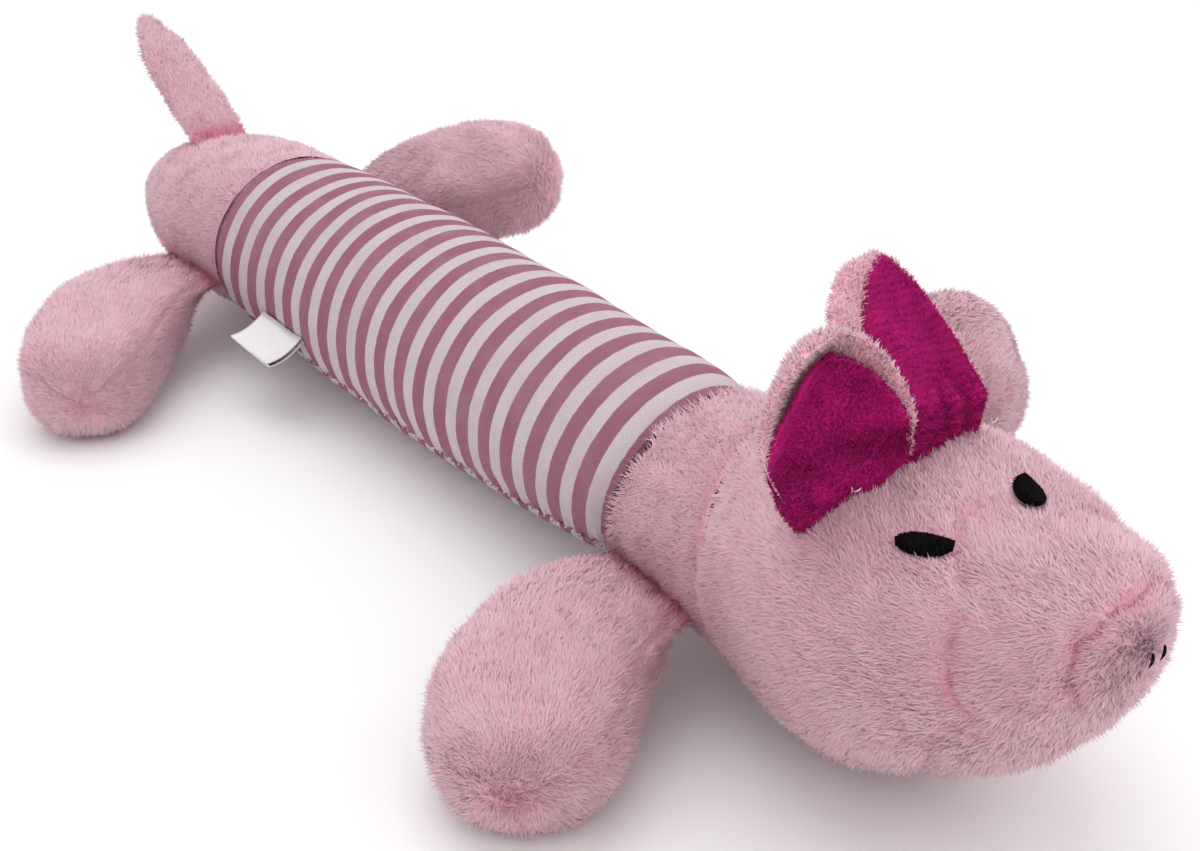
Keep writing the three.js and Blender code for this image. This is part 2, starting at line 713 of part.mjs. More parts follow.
function addStuffing() {
  const headFill = headRows.map((row) => row[0]).filter((s) => s < noseSeamShare);
  const head = tubeFilling(headSection, [...headFill, noseSeamShare], plushWall);
  addMesh(toy, 'head_filling', head, materials.fibre);
  const chest = range(-halfSleeve, collarY + fillingGap, endRings - 1);
  addMesh(toy, 'chest_filling', tubeFilling(chestSection, chest, plushWall), materials.fibre);
  const pocket = squeakerPocket();
  const halfRings = sleeveRings / 2;
  const front = range(-halfSleeve + fillingGap, -fillingGap / 2, halfRings);
  const rear = range(fillingGap / 2, halfSleeve - fillingGap, halfRings);
  const middle = sleeveSection(0, 0);
  const placed = pocket.translate([middle.x, middle.y, middle.z]);
  const frontFill = solidOf(tubeFilling(sleeveSection, front, jerseyWall)).subtract(placed);
  const rearFill = solidOf(tubeFilling(sleeveSection, rear, jerseyWall)).subtract(placed);
  addMesh(toy, 'torso_filling_front', geometryOf(frontFill), materials.fibre);
  addMesh(toy, 'torso_filling_rear', geometryOf(rearFill), materials.fibre);
  const rumpRings = [fillingGap / rumpLength, ...domeShares].map((s) =>
    sectionRing(rumpSection(s, plushWall + fillingGap)),
  );
  addMesh(toy, 'rump_filling', surfaceThrough(rumpRings, false), materials.fibre);

  const squeaker = new THREE.Group();
  squeaker.position.set(middle.x, middle.y, middle.z);
  addMesh(squeaker, 'squeaker_bulb', squeakerBulb(), materials.clearPlastic);
  addMesh(squeaker, 'squeaker_reed', squeakerReed(), materials.clearPlastic);
  toy.add(squeaker);
}

// How far a root's hinge line stands off the cloth that it is sewn to, and where that puts it beside the trunk
const rootStandOff = rootHalfHeight + seamGap;

function trunkSection(y) {
  if (y < -halfSleeve) return chestSection(y, 0);
  if (y > halfSleeve) return rumpSection((y - halfSleeve) / rumpLength, 0);
  return sleeveSection(y, 0);
}

function rootDistance(y) {
  const { z, halfWidth, down } = trunkSection(y);
  const drop = (z - rootHeight) / (down + rootStandOff);
  return (halfWidth + rootStandOff) * Math.sqrt(1 - drop * drop);
}

function rootBeside(y) {
  const places = range(y - rootHalfWidth, y + rootHalfWidth, rootSamples);
  const distances = places.map(rootDistance);
  const [front, rear] = [distances[0], distances.at(-1)];
  const bulge = distances.map((distance, i) => distance - lerp(front, rear, i / rootSamples));
  const x = (front + rear) / 2 + Math.max(...bulge);
  return { x, y, turn: Math.atan2(front - rear, 2 * rootHalfWidth) };
}

function addLeg(name, side, root, sweep, raise) {
  const hinge = new THREE.Group();
  hinge.position.set(endX + side * root.x, root.y, rootHeight);
  hinge.rotation.z = side * root.turn;
  const leg = new THREE.Group();
  leg.rotation.y = -side * radians(raise);
  hinge.add(leg);
  toy.add(hinge);
  const isOnFloor = raise === 0;
  let skin = legSkin(side, sweep);
  if (isOnFloor) {
    hinge.updateMatrixWorld(true);
    skin = pressedOnFloor(skin.applyMatrix4(leg.matrixWorld)).applyMatrix4(leg.matrixWorld.clone().invert());
  }
  addMesh(leg, `${name}_skin`, skin, materials.pinkPlush);
  addMesh(leg, `${name}_filling`, legFilling(side, sweep), materials.fibre);
}

function addEar(name, shape) {
  const { side, rootX, lean } = shape;
  const ear = new THREE.Group();
  ear.position.set(endX + side * rootX, earRootY, browHeight(rootX) + earRootRound + seamGap);
  ear.rotation.order = 'ZYX';
  ear.rotation.set(-radians(lean), side * radians(earFall), side * radians(earToe));
  const back = earLeaf(shape, earGap / 2, earGap / 2 + earBack, 0);
  addMesh(ear, `${name}_back`, back, materials.pinkPlush);
  const lining = earLeaf(shape, -earGap / 2 - earLining, -earGap / 2, liningRim);
  addMesh(ear, `${name}_lining`, lining, materials.magentaVelour);
  toy.add(ear);
}

function addTail() {
  const share = tailRootOffset / rumpLength;
  const ridge = (at) => pointOnSection(rumpSection(at, 0), Math.PI / 2);
  const along = ridge(share + slopeStep).sub(ridge(share));
  const away = new THREE.Vector3(0, -along.z, along.y).normalize();
  const tail = new THREE.Group();
  tail.position.copy(ridge(share)).addScaledVector(away, tailRootThick + seamGap);
  tail.rotation.x = -radians(tailLean);
  addMesh(tail, 'tail_skin', tailSkin(), materials.pinkPlush);
  addMesh(tail, 'tail_filling', tailFilling(), materials.fibre);
  toy.add(tail);
}

function addFace() {
  const { halfWidth, power } = headSection(eyeShare, 0);
  const angle = Math.acos((eyeSpread / halfWidth) ** (power / 2));
  const turned = radians(eyeTurn);
  const eye = (a, t) => headPatch(eyeShare, a, t, eyeHalfLength, eyeHalfHeight, eyeThread);
  addMesh(toy, 'left_eye', eye(angle, turned), materials.blackThread);
  addMesh(toy, 'right_eye', eye(Math.PI - angle, -turned), materials.blackThread);
  for (const [name, side] of [['left_nostril', 1], ['right_nostril', -1]]) {
    const stitch = new THREE.CapsuleGeometry(nostrilWidth / 2, nostrilHeight - nostrilWidth, stitchRings, stitchSides);
    stitch.rotateX(Math.PI / 2);
    const mesh = addMesh(toy, name, stitch, materials.blackThread);
    const tip = snoutTip(0);
    mesh.position.set(tip.x + side * nostrilSpread, tip.y - nostrilWidth / 2 - seamGap, tip.z);
  }
}

function addLabel() {
  const { x, z, halfWidth } = sleeveSection(labelY, 0);
  const angle = radians(labelAngle);
  const out = halfWidth + seamGap + labelLoop / 2;
  const holder = new THREE.Group();
  holder.position.set(x + out * Math.cos(angle), labelY, z + out * Math.sin(angle));
  holder.rotation.y = Math.PI - radians(labelDroop);
  addMesh(holder, 'care_label', labelGeometry(), materials.whiteSatin);
  toy.add(holder);
  addMesh(toy, 'closing_seam', closingSeam(), materials.mauveThread);
}

addTrunk();
addStuffing();
const frontRoot = rootBeside(frontRootY);
const rearRoot = rootBeside(rearRootY);
addLeg('right_front_leg', -1, frontRoot, rightFrontSweep, 0);
addLeg('left_front_leg', 1, frontRoot, leftFrontSweep, leftFrontRaise);
addLeg('right_rear_leg', -1, rearRoot, rightRearSweep, 0);
addLeg('left_rear_leg', 1, rearRoot, leftRearSweep, leftRearRaise);
addEar('right_ear', {
  side: -1,
  height: rightEarHeight,
  rootX: rightEarRootX,
  lean: rightEarLean,
  tipShift: rightTipShift,
});
addEar('left_ear', {
  side: 1,
  height: leftEarHeight,
  rootX: leftEarRootX,
  lean: leftEarLean,
  tipShift: leftTipShift,
});
addTail();
addFace();
addLabel();

export default toy;
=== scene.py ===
"""Looks of a stuffed plush pig with a striped jersey body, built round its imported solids."""

import json
import math

import bmesh
import bpy
import numpy as np
from mathutils import Euler, Matrix, Vector


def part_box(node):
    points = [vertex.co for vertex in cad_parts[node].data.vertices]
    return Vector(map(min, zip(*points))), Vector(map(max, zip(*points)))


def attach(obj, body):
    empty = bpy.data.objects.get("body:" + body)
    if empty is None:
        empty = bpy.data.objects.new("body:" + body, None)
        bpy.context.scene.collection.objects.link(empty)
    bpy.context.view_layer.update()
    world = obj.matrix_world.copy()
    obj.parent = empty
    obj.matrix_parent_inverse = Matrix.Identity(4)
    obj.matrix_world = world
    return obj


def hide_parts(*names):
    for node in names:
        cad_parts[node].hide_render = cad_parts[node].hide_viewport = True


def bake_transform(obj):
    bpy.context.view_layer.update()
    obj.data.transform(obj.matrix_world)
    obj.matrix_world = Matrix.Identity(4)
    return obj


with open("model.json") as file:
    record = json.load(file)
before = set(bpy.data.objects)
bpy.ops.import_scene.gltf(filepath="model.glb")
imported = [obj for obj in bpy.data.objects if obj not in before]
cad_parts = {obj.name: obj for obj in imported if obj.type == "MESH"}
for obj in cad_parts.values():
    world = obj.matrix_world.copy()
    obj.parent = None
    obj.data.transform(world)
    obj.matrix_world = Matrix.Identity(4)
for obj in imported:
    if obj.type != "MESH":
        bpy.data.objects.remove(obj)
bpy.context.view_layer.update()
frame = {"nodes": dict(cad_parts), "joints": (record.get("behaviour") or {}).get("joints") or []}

bl_info = {
    "name": "Plush Pig Toy",
    "version": (1, 0, 0),
    "blender": (4, 5, 0),
    "location": "3D View > Sidebar > Plush Pig",
    "description": "Dresses the packed solids of a stuffed plush pig in pile, jersey, velour and stitches",
    "category": "Object",
}

MM = 0.001
TURN = 2 * math.pi
UV_NAME = "OFBake"

# Sizes in millimetres. They are those of the solids, but the brow, the feet, the tail and the label follow
# the photograph more closely.
SLEEVE_LENGTH = 132
NECK_RADIUS = 17.6
HIP_RADIUS = 19.9
BELLY_SWELL = 2.6
SIDE_BOW = 3.75
ARCH_LIFT = 3.8
CHEST_LENGTH = 23
CHEST_SWELL = 0.6
COLLAR_RADIUS = 20.6
COLLAR_LEAN = 0.25
NECK_LEAN = -0.2
RUMP_LENGTH = 57.5
RUMP_SWELL = 2.3
RUMP_SIDE_POWER = 2.35
RUMP_TOP_POWER = 1.67
RUMP_UNDER_POWER = 2.6
HEAD_LENGTH = 61
HEAD_HALF_WIDTH = 28
HEAD_HEIGHT = 51.5
CHEEK_SHARE = 0.63
BROW_POWER = 3.0
JAW_POWER = 1.85
SNOUT_TIP_SHARE = 0.785
MUZZLE_TOP_SHARE = 0.52
MUZZLE_SIDE_SHARE = 0.88
NOSE_SEAM_SHARE = 0.93
LEG_REACH = 38.5
ROOT_HALF_WIDTH = 11
ROOT_HALF_HEIGHT = 2.2
FOOT_HALF_WIDTH = 16.8
FOOT_HALF_HEIGHT = 11.5
FOOT_POWER = 2.8
LEG_ROOT_SHARE = 0.13  # how far a leg's root runs on into the trunk, as a share of its reach
FOOT_ROUND_SHARE = 0.57
SOLE_POWER = 2.6
SOLE_ROUND_SHARE = 0.85
ROOT_HEIGHT = 16
PRESSED_FLAT = 0.5
EAR_DISH = 4.5
EAR_FALL = 14
EAR_TOE = 5
TAIL_LENGTH = 37.3
TAIL_ROOT_HALF = 6.9
TAIL_HALF_WIDTH = 6.9
TAIL_ROOT_THICK = 1.8
TAIL_HALF_THICK = 3
TAIL_LEAN = 60
TAIL_ROOT_SHARE = 0.14
LABEL_WIDTH = 15
LABEL_LENGTH = 8.5
LABEL_PLY = 0.25
LABEL_Y = 39
LABEL_ANGLE = 192
LABEL_DROOP = 36
CLOSING_ANGLE = 213

HALF_SLEEVE = SLEEVE_LENGTH / 2
MEAN_RADIUS = (NECK_RADIUS + HIP_RADIUS) / 2
COLLAR_Y = -HALF_SLEEVE - CHEST_LENGTH
END_HEIGHT = MEAN_RADIUS + BELLY_SWELL - PRESSED_FLAT + ARCH_LIFT
END_X = -SIDE_BOW

# Each row: along the head, half width, top and bottom, as shares of the head's sizes
HEAD_ROWS = [
    (0, COLLAR_RADIUS / HEAD_HALF_WIDTH, (END_HEIGHT + COLLAR_RADIUS) / HEAD_HEIGHT,
     (END_HEIGHT - COLLAR_RADIUS) / HEAD_HEIGHT),
    (0.06, 0.79, 0.905, 0.03),
    (0.14, 0.85, 0.955, 0.0),
    (0.24, 0.93, 0.985, -0.01),
    (0.36, 0.99, 0.99, 0.005),
    (0.48, 1, 0.96, 0.05),
    (0.58, 0.95, 0.935, 0.115),
    (0.68, 0.86, 0.93, 0.185),
    (0.78, 0.74, 0.93, 0.265),
    (0.87, 0.6, 0.945, 0.365),
    (0.94, 0.46, 0.93, 0.48),
    (0.985, 0.3, 0.88, 0.61),
    (1, 0, SNOUT_TIP_SHARE, SNOUT_TIP_SHARE),
]

# Legs: side, sweep of the foot towards the head, how far the leg is raised in degrees, and its reach and
# width as shares of the sizes above, since stuffed cloth draws in where it bends
LEGS = {
    "right_front_leg": (-1, 26, 0, 0.95, 0.95),
    "left_front_leg": (1, 20, 54, 1.02, 0.95),
    "right_rear_leg": (-1, 35, 0, 1.02, 0.9),
    "left_rear_leg": (1, 38, 36, 0.98, 0.94),
}

# Ears: side and lean back in degrees, then the outer and inner edges of the leaf and of its lining, from the
# head to the tip: places outwards and upwards from the joint. They were solved from points read off the
# photograph and then rounded to half a millimetre. Then how much the two edges curl forwards, and how plainly
# the lining shows a fold near its base, and its ribs and pleats.
EARS = {
    "right_ear": {
        "side": -1,
        "lean": 8,
        "outer": [(8.5, -4), (13, 5.5), (14.5, 12.5), (13, 17.5), (9, 21), (4.5, 23), (-1, 23.5)],
        "inner": [(-11.5, -3.5), (-10, 4), (-10, 8.5), (-9, 12.5), (-7, 17), (-4.5, 20.5), (-1, 23.5)],
        "lining_outer": [(9, -4), (13.5, 5.5), (14, 11.5), (11.5, 15), (8, 17.5), (4.5, 20), (0.5, 20.5)],
        "lining_inner": [(-11, -3.5), (-9.5, 4), (-8.5, 8), (-7, 11.5), (-5, 15), (-2.5, 18), (0.5, 20.5)],
        "curl": (1.0, 1.0),
        "folded": 1.0,
        "ribbed": 0.15,
    },
    "left_ear": {
        "side": 1,
        "lean": 44,
        "outer": [(6.5, -4.5), (3, 1.5), (1, 7), (0, 12), (-2, 17), (-4, 22), (-7.5, 26)],
        "inner": [(-12.5, -4.5), (-18.5, 2), (-21.5, 7), (-22, 12.5), (-20, 18), (-15, 23.5), (-7.5, 26)],
        "lining_outer": [(6.5, -4.5), (3, 1.5), (1, 6.5), (-0.5, 12), (-2.5, 17), (-4.5, 21.5), (-7, 25.5)],
        "lining_inner": [(-12.5, -4.5), (-17, 2), (-19, 7), (-18.5, 12), (-16, 17), (-12, 22), (-7, 25.5)],
        "curl": (0.9, -0.2),
        "folded": 0.0,
        "ribbed": 1.0,
    },
}

EAR_RIB_SPAN = 27  # length over which the velour's ribs are counted, in millimetres

# Eyes: share along the head, way out from its middle, turn in degrees, half length and half height
EYES = {"left_eye": (0.585, 9.5, 56, 3.0, 2.3), "right_eye": (0.573, 12.2, -42, 3.6, 2.3)}

# Sewing and embroidery threads, in millimetres
EYE_THREADS = 34
EYE_THREAD = 0.36
NOSTRIL_THREAD = 0.32
CLOSING_STITCHES = 62
CLOSING_THREAD = 0.42
LOOSE_THREAD = 0.25

# Lumps of the stuffing: lengths and heights of their waves, in millimetres
HEAD_LUMPS = ((22, 0.45), (9, 0.2))
CHEST_LUMPS = ((14, 0.35), (6, 0.15))
SLEEVE_LUMPS = ((26, 0.3), (9, 0.08))
RUMP_LUMPS = ((20, 0.5), (8, 0.2))
LEG_LUMPS = ((18, 0.45), (8, 0.2))
TAIL_LUMPS = ((9, 0.25),)
EAR_LUMPS = ((8, 0.2),)
LINING_LUMPS = ((9, 0.15),)

# Seams, folds and ridges of the skins: widths and depths or heights, in millimetres
MUZZLE_SEAM = (2.2, 0.9)
NOSE_SEAM = (1.9, 0.7)
NOSE_TIP = (5, 0.6)
PUCKER_WIDTH = 0.9
PUCKER_DEPTH = 0.8
COLLAR_RIDGE = (3, 0.5)
COLLAR_SEAM = (1.2, 0.5)
NECK_RIDGE = (3, 0.5)
NECK_TUCK = (2.6, 1.1)
RUMP_TUCK = (2.2, 1.3)
CLOSING_SEAM = (1.0, 0.8)
CLOSING_PUCKER = (4, 0.35)
CLOSING_PUCKER_PITCH = 3.1
ROOT_CREASE_WIDTH = 3.4
LEG_SEAM_HALF = 11
TAIL_SEAM_HALF = 6
SMUDGE_WIDTH = 3.0

# How much painted shade darkens creases, seams and folds: widths in millimetres and shares
SEAM_SHADE = (0.8, 0.3)
PUCKER_SHADE = 0.4
NECK_SHADE = (0.8, 0.15)
HIP_SHADE = (1.0, 0.2)
ROOT_SHADE = 0.7
LEG_ROOT_SHADE = (1.8, 0.7)
LEG_SHADE = (5, 0.15)
TAIL_ROOT_SHADE = (2.6, 0.7)
SLEEVE_SHADE = (1.5, 0.5)
CLOSING_SHADE = (0.7, 0.55)

# How much shorter the pile is at the head's seams: a width in millimetres and a share. And in its puckers
SEAM_WEAR = (1.0, 0.3)
PUCKER_WEAR = 0.35

# Tufts: how wide and how thick one is as shares of the width set for it, how tall the pile has to be for one
# to stand there, and how much of the texture one takes
TUFT_WIDTH_SHARE = 1.25
TUFT_THICKNESS_SHARE = 0.45
LEAST_PILE = 0.15
TUFT_SPECK = 0.0012

# The camera that took the photograph, found from the toy's outline, in millimetres and radians
CAMERA_PLACE = (-152.45, -218.69, 156.54)
CAMERA_YAW = 0.70
CAMERA_PITCH = -0.52
CAMERA_ROLL = 0.02
CAMERA_SENSOR = 36
CAMERA_LENS = 45

# Lamps: place in metres and power in watts
LAMPS = {"key": ((0.1, 0.35, 1.25), 4.6), "fill": ((0.9, -0.6, 0.9), 2.0)}
LAMP_SIZE = 1.0
WORLD_STRENGTH = 0.98
FLOOR_HALF = 4


def lerp(a, b, share):
    return a + (b - a) * share


def eased(share):
    """Runs from 0 to 1 and levels off there."""
    return np.sin(np.clip(share, 0, 1) * math.pi / 2)


def smoothed(share):
    """Runs from 0 to 1 with a soft start and end."""
    share = np.clip(share, 0, 1)
    return share * share * (3 - 2 * share)


def rounded(value, power):
    return np.sign(value) * np.abs(value) ** (2 / power)


def dent(distance, width, depth=1.0):
    """How deep a crease is at a distance from its middle."""
    return depth * np.exp(-((distance / width) ** 2))


def ripple(points, size, seed, waves=7):
    """A smooth wavy value from -1 to 1 at points in millimetres, whose waves are about size long."""
    draw = np.random.RandomState(seed)
    ways = draw.normal(size=(waves, 3))
    ways /= np.linalg.norm(ways, axis=1, keepdims=True)
    ways *= TURN / size * draw.uniform(0.6, 1.5, (waves, 1))
    starts = draw.uniform(0, TURN, waves)
    return np.sin(points @ ways.T + starts).sum(-1) / math.sqrt(waves) / 1.6


def lumpy(points, waves, seed):
    """Lumps in stuffing, as a sum of waves, each with its length and height."""
    return sum(height * ripple(points, length, seed + step) for step, (length, height) in enumerate(waves))


def inside(outline, points):
    """Whether points of a plane lie in a closed outline."""
    x, y = points.T
    within = np.zeros(len(points), bool)
    for (x0, y0), (x1, y1) in zip(outline, np.roll(outline, -1, 0)):
        if y0 != y1:
            within ^= ((y0 > y) != (y1 > y)) & (x < x0 + (x1 - x0) * (y - y0) / (y1 - y0))
    return within


def creased(points, lines, width):
    """How deep short creases are at points: each is a line between two places, in millimetres."""
    deepest = np.zeros(len(points))
    for start, end in lines:
        start, way = np.array(start), np.array(end) - start
        share = np.clip((points - start) @ way / (way @ way), 0, 1)
        off = np.linalg.norm(points - start - share[:, None] * way, axis=1)
        deepest = np.maximum(deepest, dent(off, width))
    return deepest


def linear(code):
    """A colour written in sRGB hex, as linear values and full opacity."""
    levels = [int(code[i : i + 2], 16) / 255 for i in (1, 3, 5)]
    return [*(v / 12.92 if v <= 0.04045 else ((v + 0.055) / 1.055) ** 2.4 for v in levels), 1.0]


def smooth_curve(points, steps=40):
    """Points on a smooth curve through the given ones."""
    points = np.array(points, float)
    all_points = np.vstack([2 * points[0] - points[1], points, 2 * points[-1] - points[-2]])
    found = []
    for i in range(1, len(all_points) - 2):
        p0, p1, p2, p3 = all_points[i - 1 : i + 3]
        d0, d1, d2 = (max(np.sum((b - a) ** 2) ** 0.25, 1e-6) for a, b in ((p0, p1), (p1, p2), (p2, p3)))
        start = ((p1 - p0) / d0 - (p2 - p0) / (d0 + d1) + (p2 - p1) / d1) * d1
        end = ((p2 - p1) / d1 - (p3 - p1) / (d1 + d2) + (p3 - p2) / d2) * d1
        t = np.linspace(0, 1, steps, endpoint=False)[:, None]
        bend = (2 * p1 - 2 * p2 + start + end) * t**3 + (3 * p2 - 3 * p1 - 2 * start - end) * t**2
        found.append(bend + start * t + p1)
    return np.vstack([*found, points[-1:]])


HEAD_CURVE = smooth_curve(HEAD_ROWS)
HEAD_SPAN = np.r_[0, np.cumsum(np.linalg.norm(np.diff(HEAD_CURVE * (1, 0.45, 0.45, 0.45), axis=0), axis=1))]
HEAD_SPAN /= HEAD_SPAN[-1]


# Forms, in millimetres


def on_section(x, y, z, half_width, up, down, power, low_power, lean, angle):
    """Points on sections square to Y."""
    sine = np.sin(angle)
    bend = np.where(sine > 0, power, low_power)
    height = np.where(sine > 0, up, down) * rounded(sine, bend)
    across = half_width * rounded(np.cos(angle), bend)
    return np.stack(np.broadcast_arrays(x + across, y + lean * height, z + height), -1)


def brow_power(share):
    """How square the head's section is above its middle."""
    return lerp(2, BROW_POWER, smoothed(share / 0.45))


def head_section(share):
    """At a share of the head's length: its middle's height, its half width, its height above and below."""
    width, top, bottom = (np.interp(share, HEAD_CURVE[:, 0], HEAD_CURVE[:, i]) for i in (1, 2, 3))
    top = top * HEAD_HEIGHT
    bottom = np.maximum(bottom * HEAD_HEIGHT, -PRESSED_FLAT)
    middle = (top + bottom) / 2
    belly = np.sin(math.pi * share)
    z = lerp(middle, np.minimum(HEAD_HEIGHT * CHEEK_SHARE, (middle + top) / 2), belly)
    return z, width * HEAD_HALF_WIDTH, top - z, z - bottom


def head_surface(along, angle):
    """The head from the collar seam, where along is 0, to the tip of the snout, where it is 1."""
    share = np.interp(along, HEAD_SPAN, HEAD_CURVE[:, 0])
    z, half_width, up, down = head_section(share)
    power = brow_power(share)
    low_power = lerp(2, JAW_POWER, np.sin(math.pi * share))
    y = COLLAR_Y - share * HEAD_LENGTH
    return on_section(END_X, y, z, half_width, up, down, power, low_power, COLLAR_LEAN * (1 - share), angle)


def on_head(share, angle, height):
    """Points at a height over the head, share along it and angle round it."""
    along = np.interp(share, HEAD_CURVE[:, 0], HEAD_SPAN)
    point = head_surface(along, angle)
    step = 0.001
    normal = np.cross(head_surface(along + step, angle) - point, head_surface(along, angle + step) - point)
    normal /= np.linalg.norm(normal, axis=-1, keepdims=True)
    outward = (point - (END_X, 0, 0.6 * HEAD_HEIGHT)) * (1, 0, 1)
    normal *= np.sign((normal * outward).sum(-1, keepdims=True))
    return point + normal * np.asarray(height)[..., None]


def chest_surface(along, angle):
    """The chest from the neck seam to the collar seam."""
    radius = lerp(NECK_RADIUS, COLLAR_RADIUS, along) + CHEST_SWELL * np.sin(math.pi * along)
    y = -HALF_SLEEVE - along * CHEST_LENGTH
    lean = lerp(NECK_LEAN, COLLAR_LEAN, along)
    return on_section(END_X, y, END_HEIGHT, radius, radius, radius, 2, 2, lean, angle)


def sleeve_surface(along, angle):
    """The sleeve from the neck seam to the rump seam."""
    share = 2 * along - 1
    swell = 1 - share * share
    radius = MEAN_RADIUS + (HIP_RADIUS - NECK_RADIUS) / 2 * share + BELLY_SWELL * swell
    x = END_X + SIDE_BOW * swell
    z = END_HEIGHT - ARCH_LIFT * swell
    return on_section(x, share * HALF_SLEEVE, z, radius, radius, radius, 2, 2, NECK_LEAN * share**2, angle)


def rump_share(along):
    """The share of the rump's length. Rows lie closer together towards its back."""
    return 1 - (1 - along) ** 1.8


def rump_surface(along, angle):
    """The rump from the sleeve's end to the middle of its back."""
    share = rump_share(along)
    swell = RUMP_SWELL * np.sin(math.pi * share)
    half_width = (HIP_RADIUS + swell) * (1 - share**RUMP_SIDE_POWER) ** (1 / RUMP_SIDE_POWER)
    up = HIP_RADIUS * (1 - share**RUMP_TOP_POWER) ** (1 / RUMP_TOP_POWER)
    down = (HIP_RADIUS + swell) * (1 - share**RUMP_UNDER_POWER) ** (1 / RUMP_UNDER_POWER)
    y = HALF_SLEEVE + share * RUMP_LENGTH
    return on_section(END_X, y, END_HEIGHT, half_width, up, down, 2, 2, NECK_LEAN * (1 - share), angle)


def leg_share(along):
    """The share of a leg's reach, which is negative where its root runs into the trunk."""
    return 1 - (1 - along) ** 1.3 * (1 + LEG_ROOT_SHARE)


def leg_sizes(share):
    """Half width and half thickness of a leg. Its root is cut wide, as the sewn edge shows."""
    def closing(start, power):
        past = np.clip((share - start) / (1 - start), 0, 1)
        return (1 - past**power) ** (1 / power)

    past_seam = np.maximum(share + 0.08, 0)
    widen = eased(past_seam / 0.66) ** 1.1
    half_width = lerp(ROOT_HALF_WIDTH * 1.12, FOOT_HALF_WIDTH, widen) * closing(FOOT_ROUND_SHARE, FOOT_POWER)
    thick = lerp(ROOT_HALF_HEIGHT, FOOT_HALF_HEIGHT, eased(past_seam / (SOLE_ROUND_SHARE + 0.08)))
    return half_width, thick * closing(SOLE_ROUND_SHARE, SOLE_POWER)


LEG_STATIONS = np.array([0.12, 0.25, 0.4, 0.55, 0.7, 0.82, 0.91, 0.97])
LEG_DROP = float(np.min((ROOT_HEIGHT + PRESSED_FLAT - leg_sizes(LEG_STATIONS)[1]) / LEG_STATIONS))


def joint_frame(name):
    """The place and the axis of a joint, in millimetres."""
    joint = next(j for j in frame["joints"] if j["child"] == name)
    return np.array(joint["pos_m"]) / MM, np.array(joint["axis"])


def leg_surface(name):
    side, sweep, raised, reach, wide = LEGS[name]
    place, axis = joint_frame(name)
    y_way = Vector(axis * -side)
    x_way = y_way.cross(Vector((0, 0, 1)))
    turn = Matrix((x_way, y_way, (0, 0, 1))).transposed()
    turn = np.array(turn @ Matrix.Rotation(-side * math.radians(raised), 3, "Y"))

    def surface(along, angle):
        share = leg_share(along)
        half_width, half_height = leg_sizes(share)
        out = np.maximum(share, 0)
        bend = 2 * share * (1 - out)
        x = side * LEG_REACH * reach * (bend / 2 + out**2)
        y = -sweep * out**2 - 0.8 * (1 - out)
        z = -LEG_DROP * (bend / 2 + out**2)
        slope_x = side * LEG_REACH
        slope_y = -2 * sweep * out
        length = np.hypot(slope_x, slope_y)
        boxy = lerp(2.0, 2.6, smoothed(share / 0.4))
        across = wide * half_width * rounded(np.cos(angle), boxy)
        rise = LEG_DROP / np.sqrt(length**2 + LEG_DROP**2)
        height = half_height * rounded(np.sin(angle), boxy)
        x = x - across * slope_y / length + height * rise * slope_x / length
        y = y + across * slope_x / length + height * rise * slope_y / length
        z = z + height * np.sqrt(1 - rise**2)
        return np.stack(np.broadcast_arrays(x, y, z), -1) @ turn.T + place

    return surface


def tail_share(along):
    """The share of the tail's length, which is negative where its root runs into the rump."""
    return 1 - (1 - along) ** 1.5 * (1 + TAIL_ROOT_SHARE)


def tail_surface(along, angle):
    share = tail_share(along)
    out = np.maximum(share, 0)
    widen = lerp(TAIL_ROOT_HALF, TAIL_HALF_WIDTH, eased(out / 0.4))
    past = np.clip((share - 0.25) / 0.75, 0, 1)
    close = (1 - past**2.1) ** 0.52
    thick = lerp(TAIL_ROOT_THICK, TAIL_HALF_THICK, eased(np.maximum(share + 0.12, 0) / 0.4)) * np.sqrt(close)
    local = (widen * close * np.cos(angle), thick * np.sin(angle), share * TAIL_LENGTH)
    place, _ = joint_frame("tail")
    turn = np.array(Matrix.Rotation(-math.radians(TAIL_LEAN), 3, "X"))
    return np.stack(np.broadcast_arrays(*local), -1) @ turn.T + place


def ear_turn(name):
    side = EARS[name]["side"]
    turns = (-math.radians(EARS[name]["lean"]), side * math.radians(EAR_FALL), side * math.radians(EAR_TOE))
    return np.array(Euler(turns, "XYZ").to_matrix())


def leaf_place(along, angle):
    """Where a place of an ear's skin lies on its leaf: across, from -1 to 1, and its height, from 0 to 1."""
    return rounded(np.cos(angle), 2.6), 1 - (1 - along) ** 1.5


def ear_leaf(name, edges, across, height, depth):
    """A point of an ear: across from -1, inside, to 1, height from 0 to 1, and depth towards its back."""
    ear = EARS[name]
    inner, outer = (smooth_curve(ear[edge]) for edge in (edges + "inner", edges + "outer"))
    share = np.linspace(0, 1, len(outer))
    out, up = (
        lerp(np.interp(height, share, inner[:, i]), np.interp(height, share, outer[:, i]), (across + 1) / 2)
        for i in (0, 1)
    )
    # Leaning ears bend down to the head just above their seam
    bent = math.tan(math.radians(ear["lean"])) * np.maximum(1.5 - up, 0)
    # Both edges and the tip curl forwards, those of the lining a little less
    amount = lerp(lerp(*ear["curl"][::-1], (across + 1) / 2), sum(ear["curl"]) / 2, height**5)
    reach, tip = (0.85, 0.75) if edges else (1, 1)
    curl = EAR_DISH * amount * reach * lerp(across**2, tip, height**5) * np.clip(height / 0.2, 0, 1)
    crease = 1.5 * ear["folded"] * dent((height - 0.17 - 0.05 * across) * 25, 2.6) * (1 - across**4)
    place, _ = joint_frame(name)
    local = np.stack(np.broadcast_arrays(ear["side"] * out, depth - curl + crease + bent, up), -1)
    return local @ ear_turn(name).T + place


# Skins and pile


